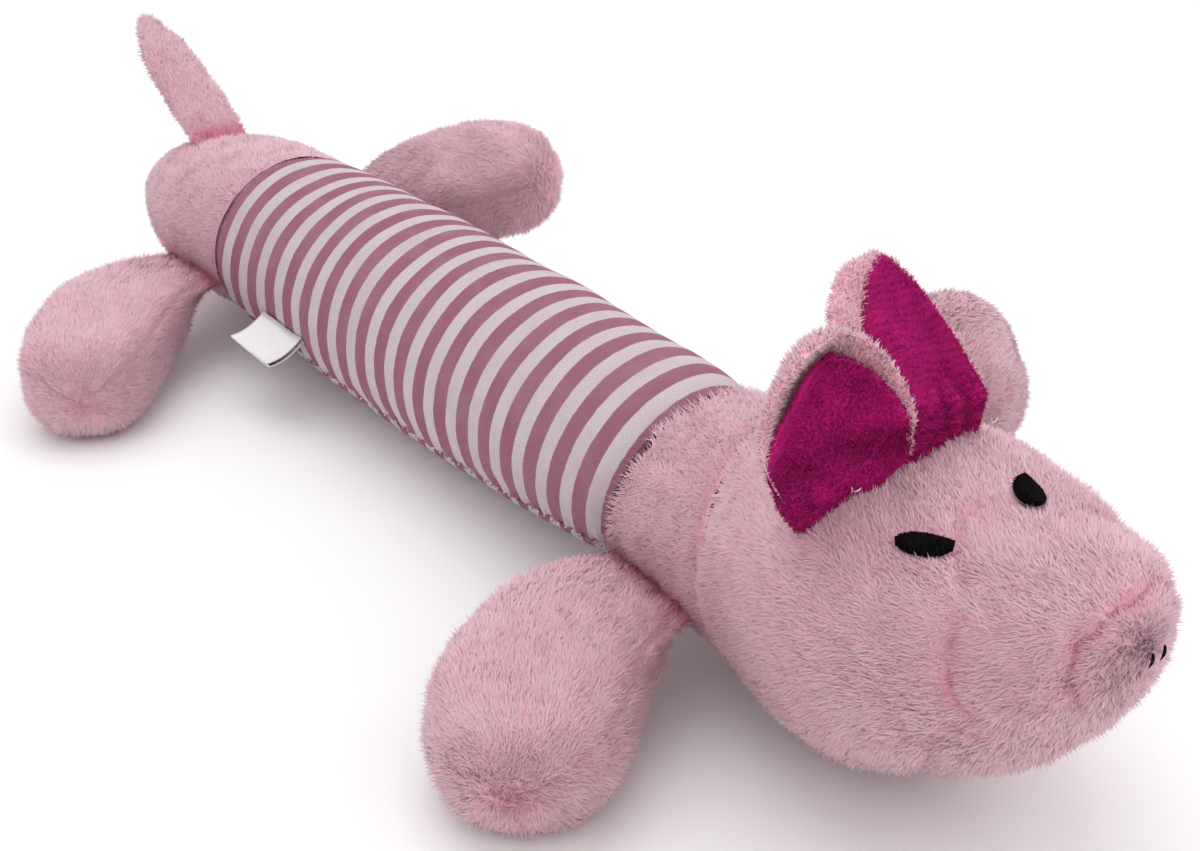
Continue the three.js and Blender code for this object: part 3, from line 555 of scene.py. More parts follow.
def wrapped(rows, around, surface):
    """A closed skin round a form. Each row is a place along the form and how far its ring is drawn in."""
    bm = bmesh.new()
    bm.loops.layers.uv.new(UV_NAME)
    layers = [bm.verts.layers.float.new(n) for n in ("along", "round", "open")]
    last = len(rows) - 1
    bmesh.ops.create_grid(bm, x_segments=around, y_segments=last, size=0.5, calc_uvs=True)
    along, drawn = np.array(rows, float).T
    angle = np.linspace(0, TURN, around + 1)
    points = surface(along[:, None], angle[None, :])
    middle = points[:, :-1].mean(1, keepdims=True)
    points = lerp(middle, points, drawn[:, None, None]) * MM
    for vert in bm.verts:
        column = round((vert.co.x + 0.5) * around)
        row = round((vert.co.y + 0.5) * last)
        vert.co = points[row, column]
        for layer, value in zip(layers, (along[row], angle[column], drawn[row])):
            vert[layer] = value
    bmesh.ops.remove_doubles(bm, verts=bm.verts, dist=1e-6)
    bmesh.ops.recalc_face_normals(bm, faces=bm.faces)
    # A thin bent skin can come out of that inside out
    if bm.calc_volume(signed=True) < 0:
        bmesh.ops.reverse_faces(bm, faces=bm.faces)
    return bm


def cut_ends(steps, start=True, end=True, tuck=0.012):
    """Rows along a form, with its sewn ends turned in. An end that isn't sewn closes to a point."""
    turned = [(0.0, 0.0), (0.0, 0.6), (0.0, 0.965), (tuck * 0.3, 0.99)]
    inner = np.linspace(tuck if start else 0, 1 - tuck if end else 1, steps)
    rows = [(float(a), 1.0) for a in inner]
    if start:
        rows = turned + rows
    if end:
        return rows + [(1 - a, d) for a, d in reversed(turned)]
    return rows


def mesh_from(name, bm):
    mesh = bpy.data.meshes.new(name)
    bm.to_mesh(mesh)
    bm.free()
    return mesh


def add_object(name, data):
    """Puts a new object with its data in the scene."""
    made = bpy.data.objects.new(name, data)
    bpy.context.scene.collection.objects.link(made)
    return made


def read(mesh, name, width):
    values = np.empty(len(mesh.vertices) * width, np.float32)
    if name == "position":
        mesh.vertices.foreach_get("co", values)
    elif name == "normal":
        mesh.vertices.foreach_get("normal", values)
    else:
        mesh.attributes[name].data.foreach_get("value" if width == 1 else "vector", values)
    return values.reshape(-1, width).astype(float) if width > 1 else values.astype(float)


def write(mesh, name, values):
    kind = "FLOAT" if values.ndim == 1 else "FLOAT_VECTOR"
    layer = mesh.attributes.get(name) or mesh.attributes.new(name, kind, "POINT")
    layer.data.foreach_set("value" if values.ndim == 1 else "vector", values.astype(np.float32).ravel())


def form_normals(surface, along, angle):
    """Normals of a form itself, whatever its turned in ends do."""
    place = np.clip(along, 0.005, 0.995)
    way = surface(place + 0.004, angle) - surface(place - 0.004, angle)
    around = surface(place, angle + 0.02) - surface(place, angle - 0.02)
    out = surface(place, angle) - surface(place, angle + math.pi)
    normals = np.cross(around, way)
    normals *= np.sign((normals * out).sum(1, keepdims=True))
    return normals / np.maximum(np.linalg.norm(normals, axis=1, keepdims=True), 1e-9)


def shaped(name, bm, surface, relief, inset, nap=1.0, grain=0.6, seed=1):
    """Makes a piece's mesh, raises relief on it, and notes where shade is painted in its creases and which
    way its pile lies.
    """
    mesh = mesh_from(name, bm)
    points, normals = read(mesh, "position", 3) / MM, read(mesh, "normal", 3)
    along, angle, drawn = (read(mesh, n, 1) for n in ("along", "round", "open"))
    height, fold, pile = relief(points, along, angle)
    edge = smoothed((drawn - 0.96) / 0.03)
    moved = points + normals * ((height - inset) * np.minimum(drawn * 1.2, 1))[:, None]
    moved[:, 2] = np.maximum(moved[:, 2], 0.3)
    mesh.vertices.foreach_set("co", (moved * MM).astype(np.float32).ravel())
    mesh.update()
    sewn = np.any((along > 0.99) & (drawn > 0.5) & (drawn < 0.98))
    from_end = np.minimum(along, 1 - along) if sewn else along
    near_end = 1 - smoothed((from_end - 0.01) / 0.03)
    ground = lerp(read(mesh, "normal", 3), form_normals(surface, along, angle), near_end[:, None])
    write(mesh, "ground", ground)
    step = 0.004
    lay = surface(np.clip(along + step, 0, 1), angle) - surface(np.clip(along - step, 0, 1), angle)
    lay /= np.maximum(np.linalg.norm(lay, axis=1, keepdims=True), 1e-9)
    side = np.cross(ground, lay)
    turn = grain * ripple(points, 14, seed) + grain * ripple(points, 4.5, seed + 1)
    write(mesh, "nap", nap * lay * np.cos(turn)[:, None] + side * np.sin(turn)[:, None])
    # Painted shade in the creases, and more on the turned in ends
    write(mesh, "fold", np.clip(fold + (1 - edge) * 0.35, 0, 1))
    # Pile that the toy rests on is pressed flat
    pile = pile * lerp(0.3, 1, smoothed((moved[:, 2] - 0.3) / 2.2))
    write(mesh, "pile", pile * edge * lerp(0.7, 1.1, 0.5 + 0.5 * ripple(points, 3.5, seed + 2)))
    mesh.update()
    return add_object(name, mesh)


def add_node(tree, kind, inputs=None, **settings):
    """Adds a node, gives it its settings, and sets or links its inputs."""
    node = tree.nodes.new(kind)
    for key, value in settings.items():
        setattr(node, key, value)
    for key, value in (inputs or {}).items():
        if isinstance(value, bpy.types.NodeSocket):
            tree.links.new(value, node.inputs[key])
        else:
            node.inputs[key].default_value = value
    return node


def one_tuft():
    """A tuft of pile a unit long: a closed three-sided cone, with one of its sides down."""
    found = bpy.data.objects.get("tuft")
    if found:
        return found
    bm = bmesh.new()
    tip = bm.verts.layers.float.new("tip")
    bmesh.ops.create_cone(bm, cap_ends=True, segments=3, radius1=0.5, radius2=0, depth=1)
    bmesh.ops.rotate(bm, verts=bm.verts, matrix=Matrix.Rotation(math.pi / 2, 3, "Z"))
    bmesh.ops.translate(bm, verts=bm.verts, vec=(0, 0, 0.5))
    for vert in bm.verts:
        vert[tip] = vert.co.z
    return bpy.data.objects.new("tuft", mesh_from("tuft", bm))


def pile_nodes(density, length, width, lean, stray, seed):
    """Sets tufts all over a skin and lays them along its nap, as on brushed cloth. Lengths are in metres."""
    tree = bpy.data.node_groups.new("brushed_pile", "GeometryNodeTree")
    for way in ("INPUT", "OUTPUT"):
        tree.interface.new_socket("Geometry", in_out=way, socket_type="NodeSocketGeometry")
    skin = add_node(tree, "NodeGroupInput").outputs[0]
    noted = {}
    for name, kind in (("pile", "FLOAT"), ("ground", "FLOAT_VECTOR"), ("nap", "FLOAT_VECTOR")):
        node = add_node(tree, "GeometryNodeInputNamedAttribute", {"Name": name}, data_type=kind)
        noted[name] = node.outputs["Attribute"]
    drawn = {}
    ranges = {
        "shade": (0.02, 1),
        "spin": (-0.6, 0.6),
        "thick": (0.75, 1.25),
        "tall": (0.7, 1.15),
        "lay": (0.12, 1),
    }
    for step, (name, (low, high)) in enumerate(ranges.items()):
        inputs = {2: low, 3: high, 8: seed + step}
        drawn[name] = add_node(tree, "FunctionNodeRandomValue", inputs, data_type="FLOAT").outputs[1]
    inputs = {0: (-stray,) * 3, 1: (stray,) * 3, 8: seed + len(ranges)}
    astray = add_node(tree, "FunctionNodeRandomValue", inputs, data_type="FLOAT_VECTOR").outputs[0]

    inputs = {0: noted["pile"], 1: LEAST_PILE}
    wanted = add_node(tree, "ShaderNodeMath", inputs, operation="GREATER_THAN").outputs[0]
    dense = add_node(tree, "ShaderNodeMath", {0: wanted, 1: density}, operation="MULTIPLY").outputs[0]
    inputs = {"Mesh": skin, "Density": dense, "Seed": seed}
    points = add_node(tree, "GeometryNodeDistributePointsOnFaces", inputs).outputs["Points"]
    inputs = {"Geometry": points, "Name": "shade", "Value": drawn["shade"]}
    points = add_node(tree, "GeometryNodeStoreNamedAttribute", inputs, data_type="FLOAT").outputs["Geometry"]
    leaned = add_node(tree, "ShaderNodeMath", {0: drawn["lay"], 1: lean}, operation="MULTIPLY").outputs[0]
    inputs = {0: noted["nap"], "Scale": leaned}
    stand = add_node(tree, "ShaderNodeVectorMath", inputs, operation="SCALE").outputs[0]
    for added in (noted["ground"], astray):
        stand = add_node(tree, "ShaderNodeVectorMath", {0: stand, 1: added}, operation="ADD").outputs[0]
    turned = add_node(tree, "FunctionNodeAlignRotationToVector", {"Vector": stand}, axis="Z").outputs[0]
    inputs = {"Rotation": turned, "Vector": noted["ground"]}
    turned = add_node(tree, "FunctionNodeAlignRotationToVector", inputs, axis="Y", pivot_axis="Z").outputs[0]
    spin = add_node(tree, "FunctionNodeAxisAngleToRotation", {"Axis": (0, 0, 1), "Angle": drawn["spin"]})
    inputs = {"Rotation": turned, "Rotate By": spin.outputs[0]}
    turned = add_node(tree, "FunctionNodeRotateRotation", inputs, rotation_space="LOCAL").outputs[0]
    tall = add_node(tree, "ShaderNodeMath", {0: drawn["tall"], 1: noted["pile"]}, operation="MULTIPLY")
    inputs = {"X": drawn["thick"], "Y": drawn["thick"], "Z": tall.outputs[0]}
    size = add_node(tree, "ShaderNodeCombineXYZ", inputs).outputs[0]
    inputs = {0: size, 1: (TUFT_WIDTH_SHARE * width, TUFT_THICKNESS_SHARE * width, length)}
    size = add_node(tree, "ShaderNodeVectorMath", inputs, operation="MULTIPLY").outputs[0]
    tuft = add_node(tree, "GeometryNodeObjectInfo", {"Object": one_tuft()}).outputs["Geometry"]
    inputs = {"Points": points, "Instance": tuft, "Rotation": turned, "Scale": size}
    tufts = add_node(tree, "GeometryNodeInstanceOnPoints", inputs).outputs[0]
    tufts = add_node(tree, "GeometryNodeRealizeInstances", {0: tufts}).outputs[0]
    both = add_node(tree, "GeometryNodeJoinGeometry")
    tree.links.new(tufts, both.inputs[0])
    tree.links.new(skin, both.inputs[0])
    tree.links.new(both.outputs[0], add_node(tree, "NodeGroupOutput").inputs[0])
    return tree


def spread_tufts(mesh):
    """Gives every tuft a speck of the texture round its root, so that its faces have an area there."""
    tufts = read(mesh, "shade", 1) > 0
    corners = np.empty(len(mesh.loops), np.int32)
    mesh.loops.foreach_get("vertex_index", corners)
    places = np.empty(len(mesh.loops) * 2, np.float32)
    layer = mesh.uv_layers[UV_NAME].uv
    layer.foreach_get("vector", places)
    places = places.reshape(-1, 2)
    on_tuft = tufts[corners]
    specks = np.array([(0, 0), (1, 0), (0, 1), (1, 1)], np.float32) * TUFT_SPECK
    places[on_tuft] += specks[(corners[on_tuft] - int(np.argmax(tufts))) % 4]
    layer.foreach_set("vector", places.ravel())


def with_pile(piece, density, length, width, seed, lean=3.4, stray=0.75, softness=0.75):
    """Covers a piece with pile. Density is in tufts on a square millimetre, lengths in millimetres."""
    modifier = piece.modifiers.new("pile", "NODES")
    modifier.node_group = pile_nodes(density / MM**2, length * MM, width * MM, lean, stray, seed)
    graph = bpy.context.evaluated_depsgraph_get()
    graph.update()
    mesh = bpy.data.meshes.new_from_object(piece.evaluated_get(graph))
    mesh.name = piece.name
    piece.modifiers.clear()
    piece.data = mesh
    spread_tufts(mesh)
    ground, normals = read(mesh, "ground", 3), read(mesh, "normal", 3)
    soft = lerp(normals, ground, softness)
    soft /= np.maximum(np.linalg.norm(soft, axis=1, keepdims=True), 1e-9)
    mesh.shade_smooth()
    mesh.normals_split_custom_set_from_vertices(soft.tolist())


def brushed(piece, seed, **changes):
    """Covers a piece with the pink plush's pile."""
    made = settings()
    options = {"density": made.pile_density, "length": made.pile_length / MM, "width": made.pile_width / MM}
    options.update(changes)
    with_pile(piece, seed=seed, **options)


def add_thread(bm, middle, way, lift, length, thick, bend=0.0):
    """Adds a short thread: its middle in millimetres, the way that it runs and the way that it arches."""
    way = Vector(way).normalized()
    lift = Vector(lift)
    lift = (lift - way * lift.dot(way)).normalized()
    side = lift.cross(way)
    made = bmesh.ops.create_uvsphere(bm, u_segments=6, v_segments=7, radius=1)["verts"]
    for vert in made:
        x, y, z = vert.co
        arch = y * thick / 2 + bend * (1 - z * z)
        vert.co = (Vector(middle) + side * (x * thick / 2) + lift * arch + way * (z * length / 2)) * MM


# Materials


def made_of(build):
    """The material that build describes, made once. Build adds its nodes and returns the shader's inputs."""
    found = bpy.data.materials.get(build.__name__)
    if found:
        return found
    material = bpy.data.materials.new(build.__name__)
    material.use_nodes = True
    tree = material.node_tree
    tree.nodes.clear()
    shader = add_node(tree, "ShaderNodeBsdfPrincipled", build(tree))
    add_node(tree, "ShaderNodeOutputMaterial", {"Surface": shader.outputs[0]})
    return material


def dyed(color, share):
    """A darker or lighter shade of a dye."""
    return [*(min(v * share, 1) for v in color[:3]), 1]


def coral_fleece(tree):
    """Polyester plush, sheared short and brushed: matt, with pale tips, and with painted shade tinting its
    creases deeper and darker.
    """
    made = settings()
    noted = {}
    for name in ("fold", "tip", "shade", "stain"):
        noted[name] = add_node(tree, "ShaderNodeAttribute", attribute_name=name).outputs["Fac"]
    place = add_node(tree, "ShaderNodeTexCoord").outputs["Object"]
    # Patches 10 mm across, where the pile lies differently, and clumps 3 mm across
    patches = add_node(tree, "ShaderNodeTexNoise", {"Vector": place, "Scale": 100, "Detail": 3}).outputs[0]
    clumps = add_node(tree, "ShaderNodeTexNoise", {"Vector": place, "Scale": 330, "Detail": 2}).outputs[0]
    tone = list(made.pink)
    pale = list(made.pale)
    layers = (
        ({0: noted["tip"], 1: 0, 2: 1, 3: 0, 4: 0.8}, pale),
        ({0: patches, 1: 0.38, 2: 0.7, 3: 0, 4: 0.35}, pale),
        ({0: noted["shade"], 1: 0.55, 2: 1, 3: 0, 4: 0.3}, tone),
        ({0: clumps, 1: 0.5, 2: 0.75, 3: 0, 4: 0.4}, linear("#dca0b1")),
        # Painted shade: creases, seams and turned in ends take the deeper, darker pink
        ({0: noted["fold"], 1: 0, 2: 1, 3: 0, 4: 1}, list(made.deep)),
        ({0: noted["stain"], 1: 0, 2: 1, 3: 0, 4: 0.38}, linear("#8a8391")),
    )
    for amount, color in layers:
        share = add_node(tree, "ShaderNodeMapRange", amount).outputs[0]
        tone = add_node(tree, "ShaderNodeMix", {0: share, 6: tone, 7: color}, data_type="RGBA").outputs[2]
    # Light passes through the fibres' ends, as in all short pile
    return {
        "Base Color": tone,
        "Roughness": 0.9,
        "Specular IOR Level": 0.0,
        "Subsurface Weight": 0.35,
        "Subsurface Radius": (1.0, 0.9, 0.95),
        "Subsurface Scale": 0.15 * MM,
    }


def cotton_velour(tree):
    """Knitted velour: a dense cut pile, mottled darker in patches, with faint ribs and with painted shade in
    its creases and pleats.
    """
    magenta = list(settings().magenta)
    noted = {}
    for name in ("fold", "tip", "rib", "ribbed"):
        noted[name] = add_node(tree, "ShaderNodeAttribute", attribute_name=name).outputs["Fac"]
    place = add_node(tree, "ShaderNodeTexCoord").outputs["Object"]
    patches = add_node(tree, "ShaderNodeTexNoise", {"Vector": place, "Scale": 220, "Detail": 4}).outputs[0]
    # Ribs 1.1 mm apart, bent a little by the noise
    bent = add_node(tree, "ShaderNodeMath", {0: patches, 1: 2.4, 2: noted["rib"]}, operation="MULTIPLY_ADD")
    turns = add_node(tree, "ShaderNodeMath", {0: bent.outputs[0], 1: TURN / 1.1}, operation="MULTIPLY")
    wave = add_node(tree, "ShaderNodeMath", {0: turns.outputs[0]}, operation="SINE").outputs[0]
    lines = add_node(tree, "ShaderNodeMapRange", {0: wave, 1: 0.1, 2: 1, 3: 0, 4: 0.6}).outputs[0]
    lines = add_node(tree, "ShaderNodeMath", {0: lines, 1: noted["ribbed"]}, operation="MULTIPLY").outputs[0]
    tone = magenta
    layers = (
        ({0: patches, 1: 0.35, 2: 0.65, 3: 0, 4: 0.8}, dyed(magenta, 0.7)),
        ({0: lines, 1: 0, 2: 1, 3: 0, 4: 1}, dyed(magenta, 0.45)),
        # Painted shade in the creases and between the pleats
        ({0: noted["fold"], 1: 0, 2: 1, 3: 0, 4: 1}, dyed(magenta, 0.4)),
        ({0: noted["tip"], 1: 0.5, 2: 1, 3: 0, 4: 0.25}, dyed(magenta, 1.5)),
    )
    for amount, color in layers:
        share = add_node(tree, "ShaderNodeMapRange", amount).outputs[0]
        tone = add_node(tree, "ShaderNodeMix", {0: share, 6: tone, 7: color}, data_type="RGBA").outputs[2]
    return {"Base Color": tone, "Roughness": 0.85, "Specular IOR Level": 0.1}


def knitted_jersey(tree):
    """Fine cotton jersey knitted in two colours: matt, with loops that show as dots. They are drawn 0.6 mm
    apart, wider than real, so that they show."""
    made = settings()
    noted = {}
    for name in ("course", "fold"):
        noted[name] = add_node(tree, "ShaderNodeAttribute", attribute_name=name).outputs["Fac"]
    around = add_node(tree, "ShaderNodeUVMap", uv_map=UV_NAME).outputs[0]
    around = add_node(tree, "ShaderNodeSeparateXYZ", {0: around}).outputs[0]
    place = add_node(tree, "ShaderNodeTexCoord").outputs["Object"]
    # The bands' edges wander by a tenth of a millimetre, with the loops of the knit
    wander = add_node(tree, "ShaderNodeTexNoise", {"Vector": place, "Scale": 700}).outputs[0]
    inputs = {0: wander, 1: 0.3, 2: noted["course"]}
    course = add_node(tree, "ShaderNodeMath", inputs, operation="MULTIPLY_ADD").outputs[0]
    inputs = {0: course, 1: made.stripe_pitch / MM}
    turns = add_node(tree, "ShaderNodeMath", inputs, operation="DIVIDE").outputs[0]
    phase = add_node(tree, "ShaderNodeMath", {0: turns}, operation="FRACT").outputs[0]
    start = add_node(tree, "ShaderNodeMapRange", {0: phase, 1: 0.44, 2: 0.47, 3: 0, 4: 1}).outputs[0]
    end = add_node(tree, "ShaderNodeMapRange", {0: phase, 1: 0.97, 2: 1, 3: 1, 4: 0}).outputs[0]
    is_dark = add_node(tree, "ShaderNodeMath", {0: start, 1: end}, operation="MULTIPLY").outputs[0]
    loops = []
    for value, turns in ((noted["course"], TURN / 0.6), (around, TURN * 190)):
        turned = add_node(tree, "ShaderNodeMath", {0: value, 1: turns}, operation="MULTIPLY").outputs[0]
        loops.append(add_node(tree, "ShaderNodeMath", {0: turned}, operation="SINE").outputs[0])
    loops = add_node(tree, "ShaderNodeMath", {0: loops[0], 1: loops[1]}, operation="MULTIPLY").outputs[0]
    worn = add_node(tree, "ShaderNodeTexNoise", {"Vector": place, "Scale": 120, "Detail": 3}).outputs[0]
    tone = list(made.stripe_light)
    layers = (
        ({0: is_dark, 1: 0, 2: 1, 3: 0, 4: 1}, list(made.stripe_dark)),
        ({0: loops, 1: -0.2, 2: 1, 3: 0, 4: 0.22}, linear("#6e4f5c")),
        ({0: worn, 1: 0.4, 2: 0.8, 3: 0, 4: 0.3}, linear("#a98f98")),
        # Painted shade along the closing seam and at the neck, under the chest's fringe
        ({0: noted["fold"], 1: 0, 2: 1, 3: 0, 4: 1}, linear("#5d3a48")),
    )
    for amount, color in layers:
        share = add_node(tree, "ShaderNodeMapRange", amount).outputs[0]
        tone = add_node(tree, "ShaderNodeMix", {0: share, 6: tone, 7: color}, data_type="RGBA").outputs[2]
    inputs = {"Strength": 0.35, "Distance": 0.15 * MM, "Height": loops}
    bump = add_node(tree, "ShaderNodeBump", inputs).outputs[0]
    return {"Base Color": tone, "Roughness": 0.9, "Specular IOR Level": 0.2, "Normal": bump}


def black_rayon_thread(tree):
    """Embroidery thread of twisted rayon: near black, and only faintly glossy because the pile dulls it."""
    place = add_node(tree, "ShaderNodeTexCoord").outputs["Object"]
    twist = add_node(tree, "ShaderNodeTexNoise", {"Vector": place, "Scale": 2500}).outputs[0]
    share = add_node(tree, "ShaderNodeMapRange", {0: twist, 1: 0.4, 2: 0.7, 3: 0, 4: 1}).outputs[0]
    inputs = {0: share, 6: linear("#020203"), 7: linear("#110f13")}
    tone = add_node(tree, "ShaderNodeMix", inputs, data_type="RGBA").outputs[2]
    bump = {"Strength": 0.6, "Distance": 0.05 * MM, "Height": twist}
    bump = add_node(tree, "ShaderNodeBump", bump).outputs[0]
    return {"Base Color": tone, "Roughness": 0.8, "Specular IOR Level": 0.06, "Normal": bump}


def mauve_overlock_thread(tree):
    """Spun polyester sewing thread in mauve and white plies, matt, which shows as flecks along the seam."""
    place = add_node(tree, "ShaderNodeTexCoord").outputs["Object"]
    plies = add_node(tree, "ShaderNodeTexNoise", {"Vector": place, "Scale": 900, "Detail": 1}).outputs[0]
    share = add_node(tree, "ShaderNodeMapRange", {0: plies, 1: 0.47, 2: 0.55, 3: 0, 4: 1}).outputs[0]
    inputs = {0: share, 6: linear("#9a6478"), 7: linear("#d9cdd3")}
    tone = add_node(tree, "ShaderNodeMix", inputs, data_type="RGBA").outputs[2]
    return {"Base Color": tone, "Roughness": 0.85}


def white_sewing_thread(tree):
    """Bleached polyester sewing thread: white, a little translucent, with grey mottling painted as shade
    between its plies.
    """
    place = add_node(tree, "ShaderNodeTexCoord").outputs["Object"]
    plies = add_node(tree, "ShaderNodeTexNoise", {"Vector": place, "Scale": 3000}).outputs[0]
    inputs = {0: plies, 6: linear("#f1e9ee"), 7: linear("#c9bcc4")}
    tone = add_node(tree, "ShaderNodeMix", inputs, data_type="RGBA").outputs[2]
    return {"Base Color": tone, "Roughness": 0.7}


def woven_satin(tree):
    """White polyester satin ribbon: smooth, with a soft gloss along its warp. Its ribs are drawn wider apart
    than real, so that they show."""
    around = add_node(tree, "ShaderNodeUVMap", uv_map=UV_NAME).outputs[0]
    across = add_node(tree, "ShaderNodeSeparateXYZ", {0: around}).outputs[0]
    turned = add_node(tree, "ShaderNodeMath", {0: across, 1: TURN * 34}, operation="MULTIPLY").outputs[0]
    ribs = add_node(tree, "ShaderNodeMath", {0: turned}, operation="SINE").outputs[0]
    share = add_node(tree, "ShaderNodeMapRange", {0: ribs, 1: -1, 2: 1, 3: 0, 4: 0.5}).outputs[0]
    inputs = {0: share, 6: linear("#efecef"), 7: linear("#d6d0d6")}
    tone = add_node(tree, "ShaderNodeMix", inputs, data_type="RGBA").outputs[2]
    bump = {"Strength": 0.2, "Distance": 0.05 * MM, "Height": ribs}
    bump = add_node(tree, "ShaderNodeBump", bump).outputs[0]
    return {"Base Color": tone, "Roughness": 0.45, "Anisotropic": 0.5, "Normal": bump}


def blow_moulded_vinyl(tree):
    """Thin milky vinyl, blow moulded: slightly cloudy, with a soft gloss."""
    place = add_node(tree, "ShaderNodeTexCoord").outputs["Object"]
    clouds = add_node(tree, "ShaderNodeTexNoise", {"Vector": place, "Scale": 150, "Detail": 4}).outputs[0]
    inputs = {0: clouds, 6: linear("#eef0ec"), 7: linear("#d5d9d2")}
    tone = add_node(tree, "ShaderNodeMix", inputs, data_type="RGBA").outputs[2]
    return {"Base Color": tone, "Roughness": 0.35}


def white_paper(tree):
    """Backdrop paper: matt white, faintly mottled by its fibres."""
    place = add_node(tree, "ShaderNodeTexCoord").outputs["Object"]
    fibres = add_node(tree, "ShaderNodeTexNoise", {"Vector": place, "Scale": 40, "Detail": 5}).outputs[0]
    inputs = {0: fibres, 6: linear("#f8f8f8"), 7: linear("#f3f3f3")}
    tone = add_node(tree, "ShaderNodeMix", inputs, data_type="RGBA").outputs[2]
    return {"Base Color": tone, "Roughness": 0.9, "Specular IOR Level": 0.0}


# Pieces


class PlushSettings(bpy.types.PropertyGroup):
    pile_length: bpy.props.FloatProperty(
        name="Pile length",
        description="Length of the tufts on the pink plush",
        default=1.8 * MM,
        unit="LENGTH",
    )
    pile_width: bpy.props.FloatProperty(
        name="Tuft width",
        description="Width of one tuft at its root",
        default=0.26 * MM,
        unit="LENGTH",
    )
    pile_density: bpy.props.FloatProperty(
        name="Tufts per square millimetre",
        description="How many tufts stand on a square millimetre of plush",
        default=10.0,
    )
    stripe_pitch: bpy.props.FloatProperty(
        name="Stripe pitch",
        description="Length of one dark and one light band",
        default=6.77 * MM,
        unit="LENGTH",
    )
    pink: bpy.props.FloatVectorProperty(
        name="Plush", description="Dye of the plush", subtype="COLOR", size=4, default=linear("#f1b1c1")
    )
    pale: bpy.props.FloatVectorProperty(
        name="Plush tips", description="Tips of the pile", subtype="COLOR", size=4, default=linear("#fad6df")
    )
    # The colour of the painted shade in the plush's creases, seams and folds
    deep: bpy.props.FloatVectorProperty(
        name="Plush folds", description="Dye in folds", subtype="COLOR", size=4, default=linear("#e2698c")
    )
    magenta: bpy.props.FloatVectorProperty(
        name="Velour", description="Lining of the ears", subtype="COLOR", size=4, default=linear("#c21e77")
    )
    stripe_dark: bpy.props.FloatVectorProperty(
        name="Dark stripe", description="Dark bands", subtype="COLOR", size=4, default=linear("#965f74")
    )
    stripe_light: bpy.props.FloatVectorProperty(
        name="Light stripe", description="Light bands", subtype="COLOR", size=4, default=linear("#cabec3")
    )


def settings():
    return bpy.context.scene.plush_pig


def dress(piece, build, nodes, body="torso", bend=None):
    """Gives a piece its material and hides the nodes that it stands for. Without bend it hangs from its body;
    with bend its place is baked into its mesh and it hangs from nothing, and the two places in bend, in
    millimetres, are not used."""
    piece.data.materials.clear()
    piece.data.materials.append(made_of(build))
    if bend is None:
        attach(piece, body)
    else:
        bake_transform(piece)
    if nodes:
        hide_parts(*nodes)


def add_plain(name, bm, build, nodes):
    """Adds a piece of the trunk that has no pile."""
    mesh = mesh_from(name, bm)
    mesh.shade_smooth()
    piece = add_object(name, mesh)
    dress(piece, build, nodes)
    return piece


def bend_of(surface, start, end):
    """The middle of a limb at two places along it."""
    angles = np.linspace(0, TURN, 24, endpoint=False)
    return [surface(np.array(along), angles).mean(0) for along in (start, end)]


def seam_places(points):
    """Distances of points on the head from the muzzle seam and from the nose seam, along the head."""
    share = (COLLAR_Y - points[:, 1]) / HEAD_LENGTH
    out = (np.hypot(points[:, 0] - END_X, 3.0) - 3.0) / HEAD_HALF_WIDTH
    muzzle = (share - lerp(MUZZLE_TOP_SHARE, MUZZLE_SIDE_SHARE, np.minimum(out, 1))) * HEAD_LENGTH
    return muzzle * 0.8, (share - NOSE_SEAM_SHARE) * HEAD_LENGTH


def eye_angle(name):
    """Angle of an eye round the head, and the head's half width there."""
    share, out = EYES[name][:2]
    width = float(head_section(share)[1])
    angle = math.acos((out / width) ** (brow_power(share) / 2))
    return (angle if name == "left_eye" else math.pi - angle), width


def in_eye(along, angle):
    """How far points on the head are in an eye: under 1 is inside its outline."""
    nearest = np.full(len(along), 9.0)
    for name, (share, _, turned, half_length, half_height) in EYES.items():
        middle, width = eye_angle(name)
        turned = math.radians(turned)
        ahead = (np.interp(along, HEAD_SPAN, HEAD_CURVE[:, 0]) - share) * HEAD_LENGTH
        across = (angle - middle) * width
        run = (across * math.cos(turned) + ahead * math.sin(turned)) / half_length
        high = (ahead * math.cos(turned) - across * math.sin(turned)) / half_height
        nearest = np.minimum(nearest, np.hypot(run, high))
    return nearest


# Puckers of the head's seams on its right side, along lines of places in millimetres. They were worked out
# from points read off the photograph and then rounded to half a millimetre.
PUCKER_LINES = [
    [(-4.5, -120.5, 47.5), (-6, -125, 47)],
    [(-14, -129, 46.5), (-18.5, -131.5, 45), (-20.5, -133, 44), (-23, -134, 41.5)],
    [(-24.5, -135.5, 37), (-24.5, -136, 35), (-23.5, -138, 32.5), (-23, -139, 32)],
    [(-24, -137.5, 30), (-22, -139.5, 28)],
    [(-0.5, -146.5, 47.5), (-2.5, -147.5, 47), (-8, -146.5, 47.5)],
    [(-10.5, -147, 46.5), (-12.5, -147, 45), (-14.5, -146.5, 44), (-15.5, -147, 40.5)],
    [(-15.5, -147, 39), (-14, -148, 36)],
]
NOSE_MIDDLE = (-3.5, -150, 38)
SMUDGE_MIDDLE = (-4.5, -149.5, 41.5)


def both_sides(lines):
    """The segments of lines, and the same on the left side."""
    for line in lines:
        for start, end in zip(line, line[1:]):
            yield start, end
            yield tuple((2 * END_X - p[0], *p[1:]) for p in (start, end))


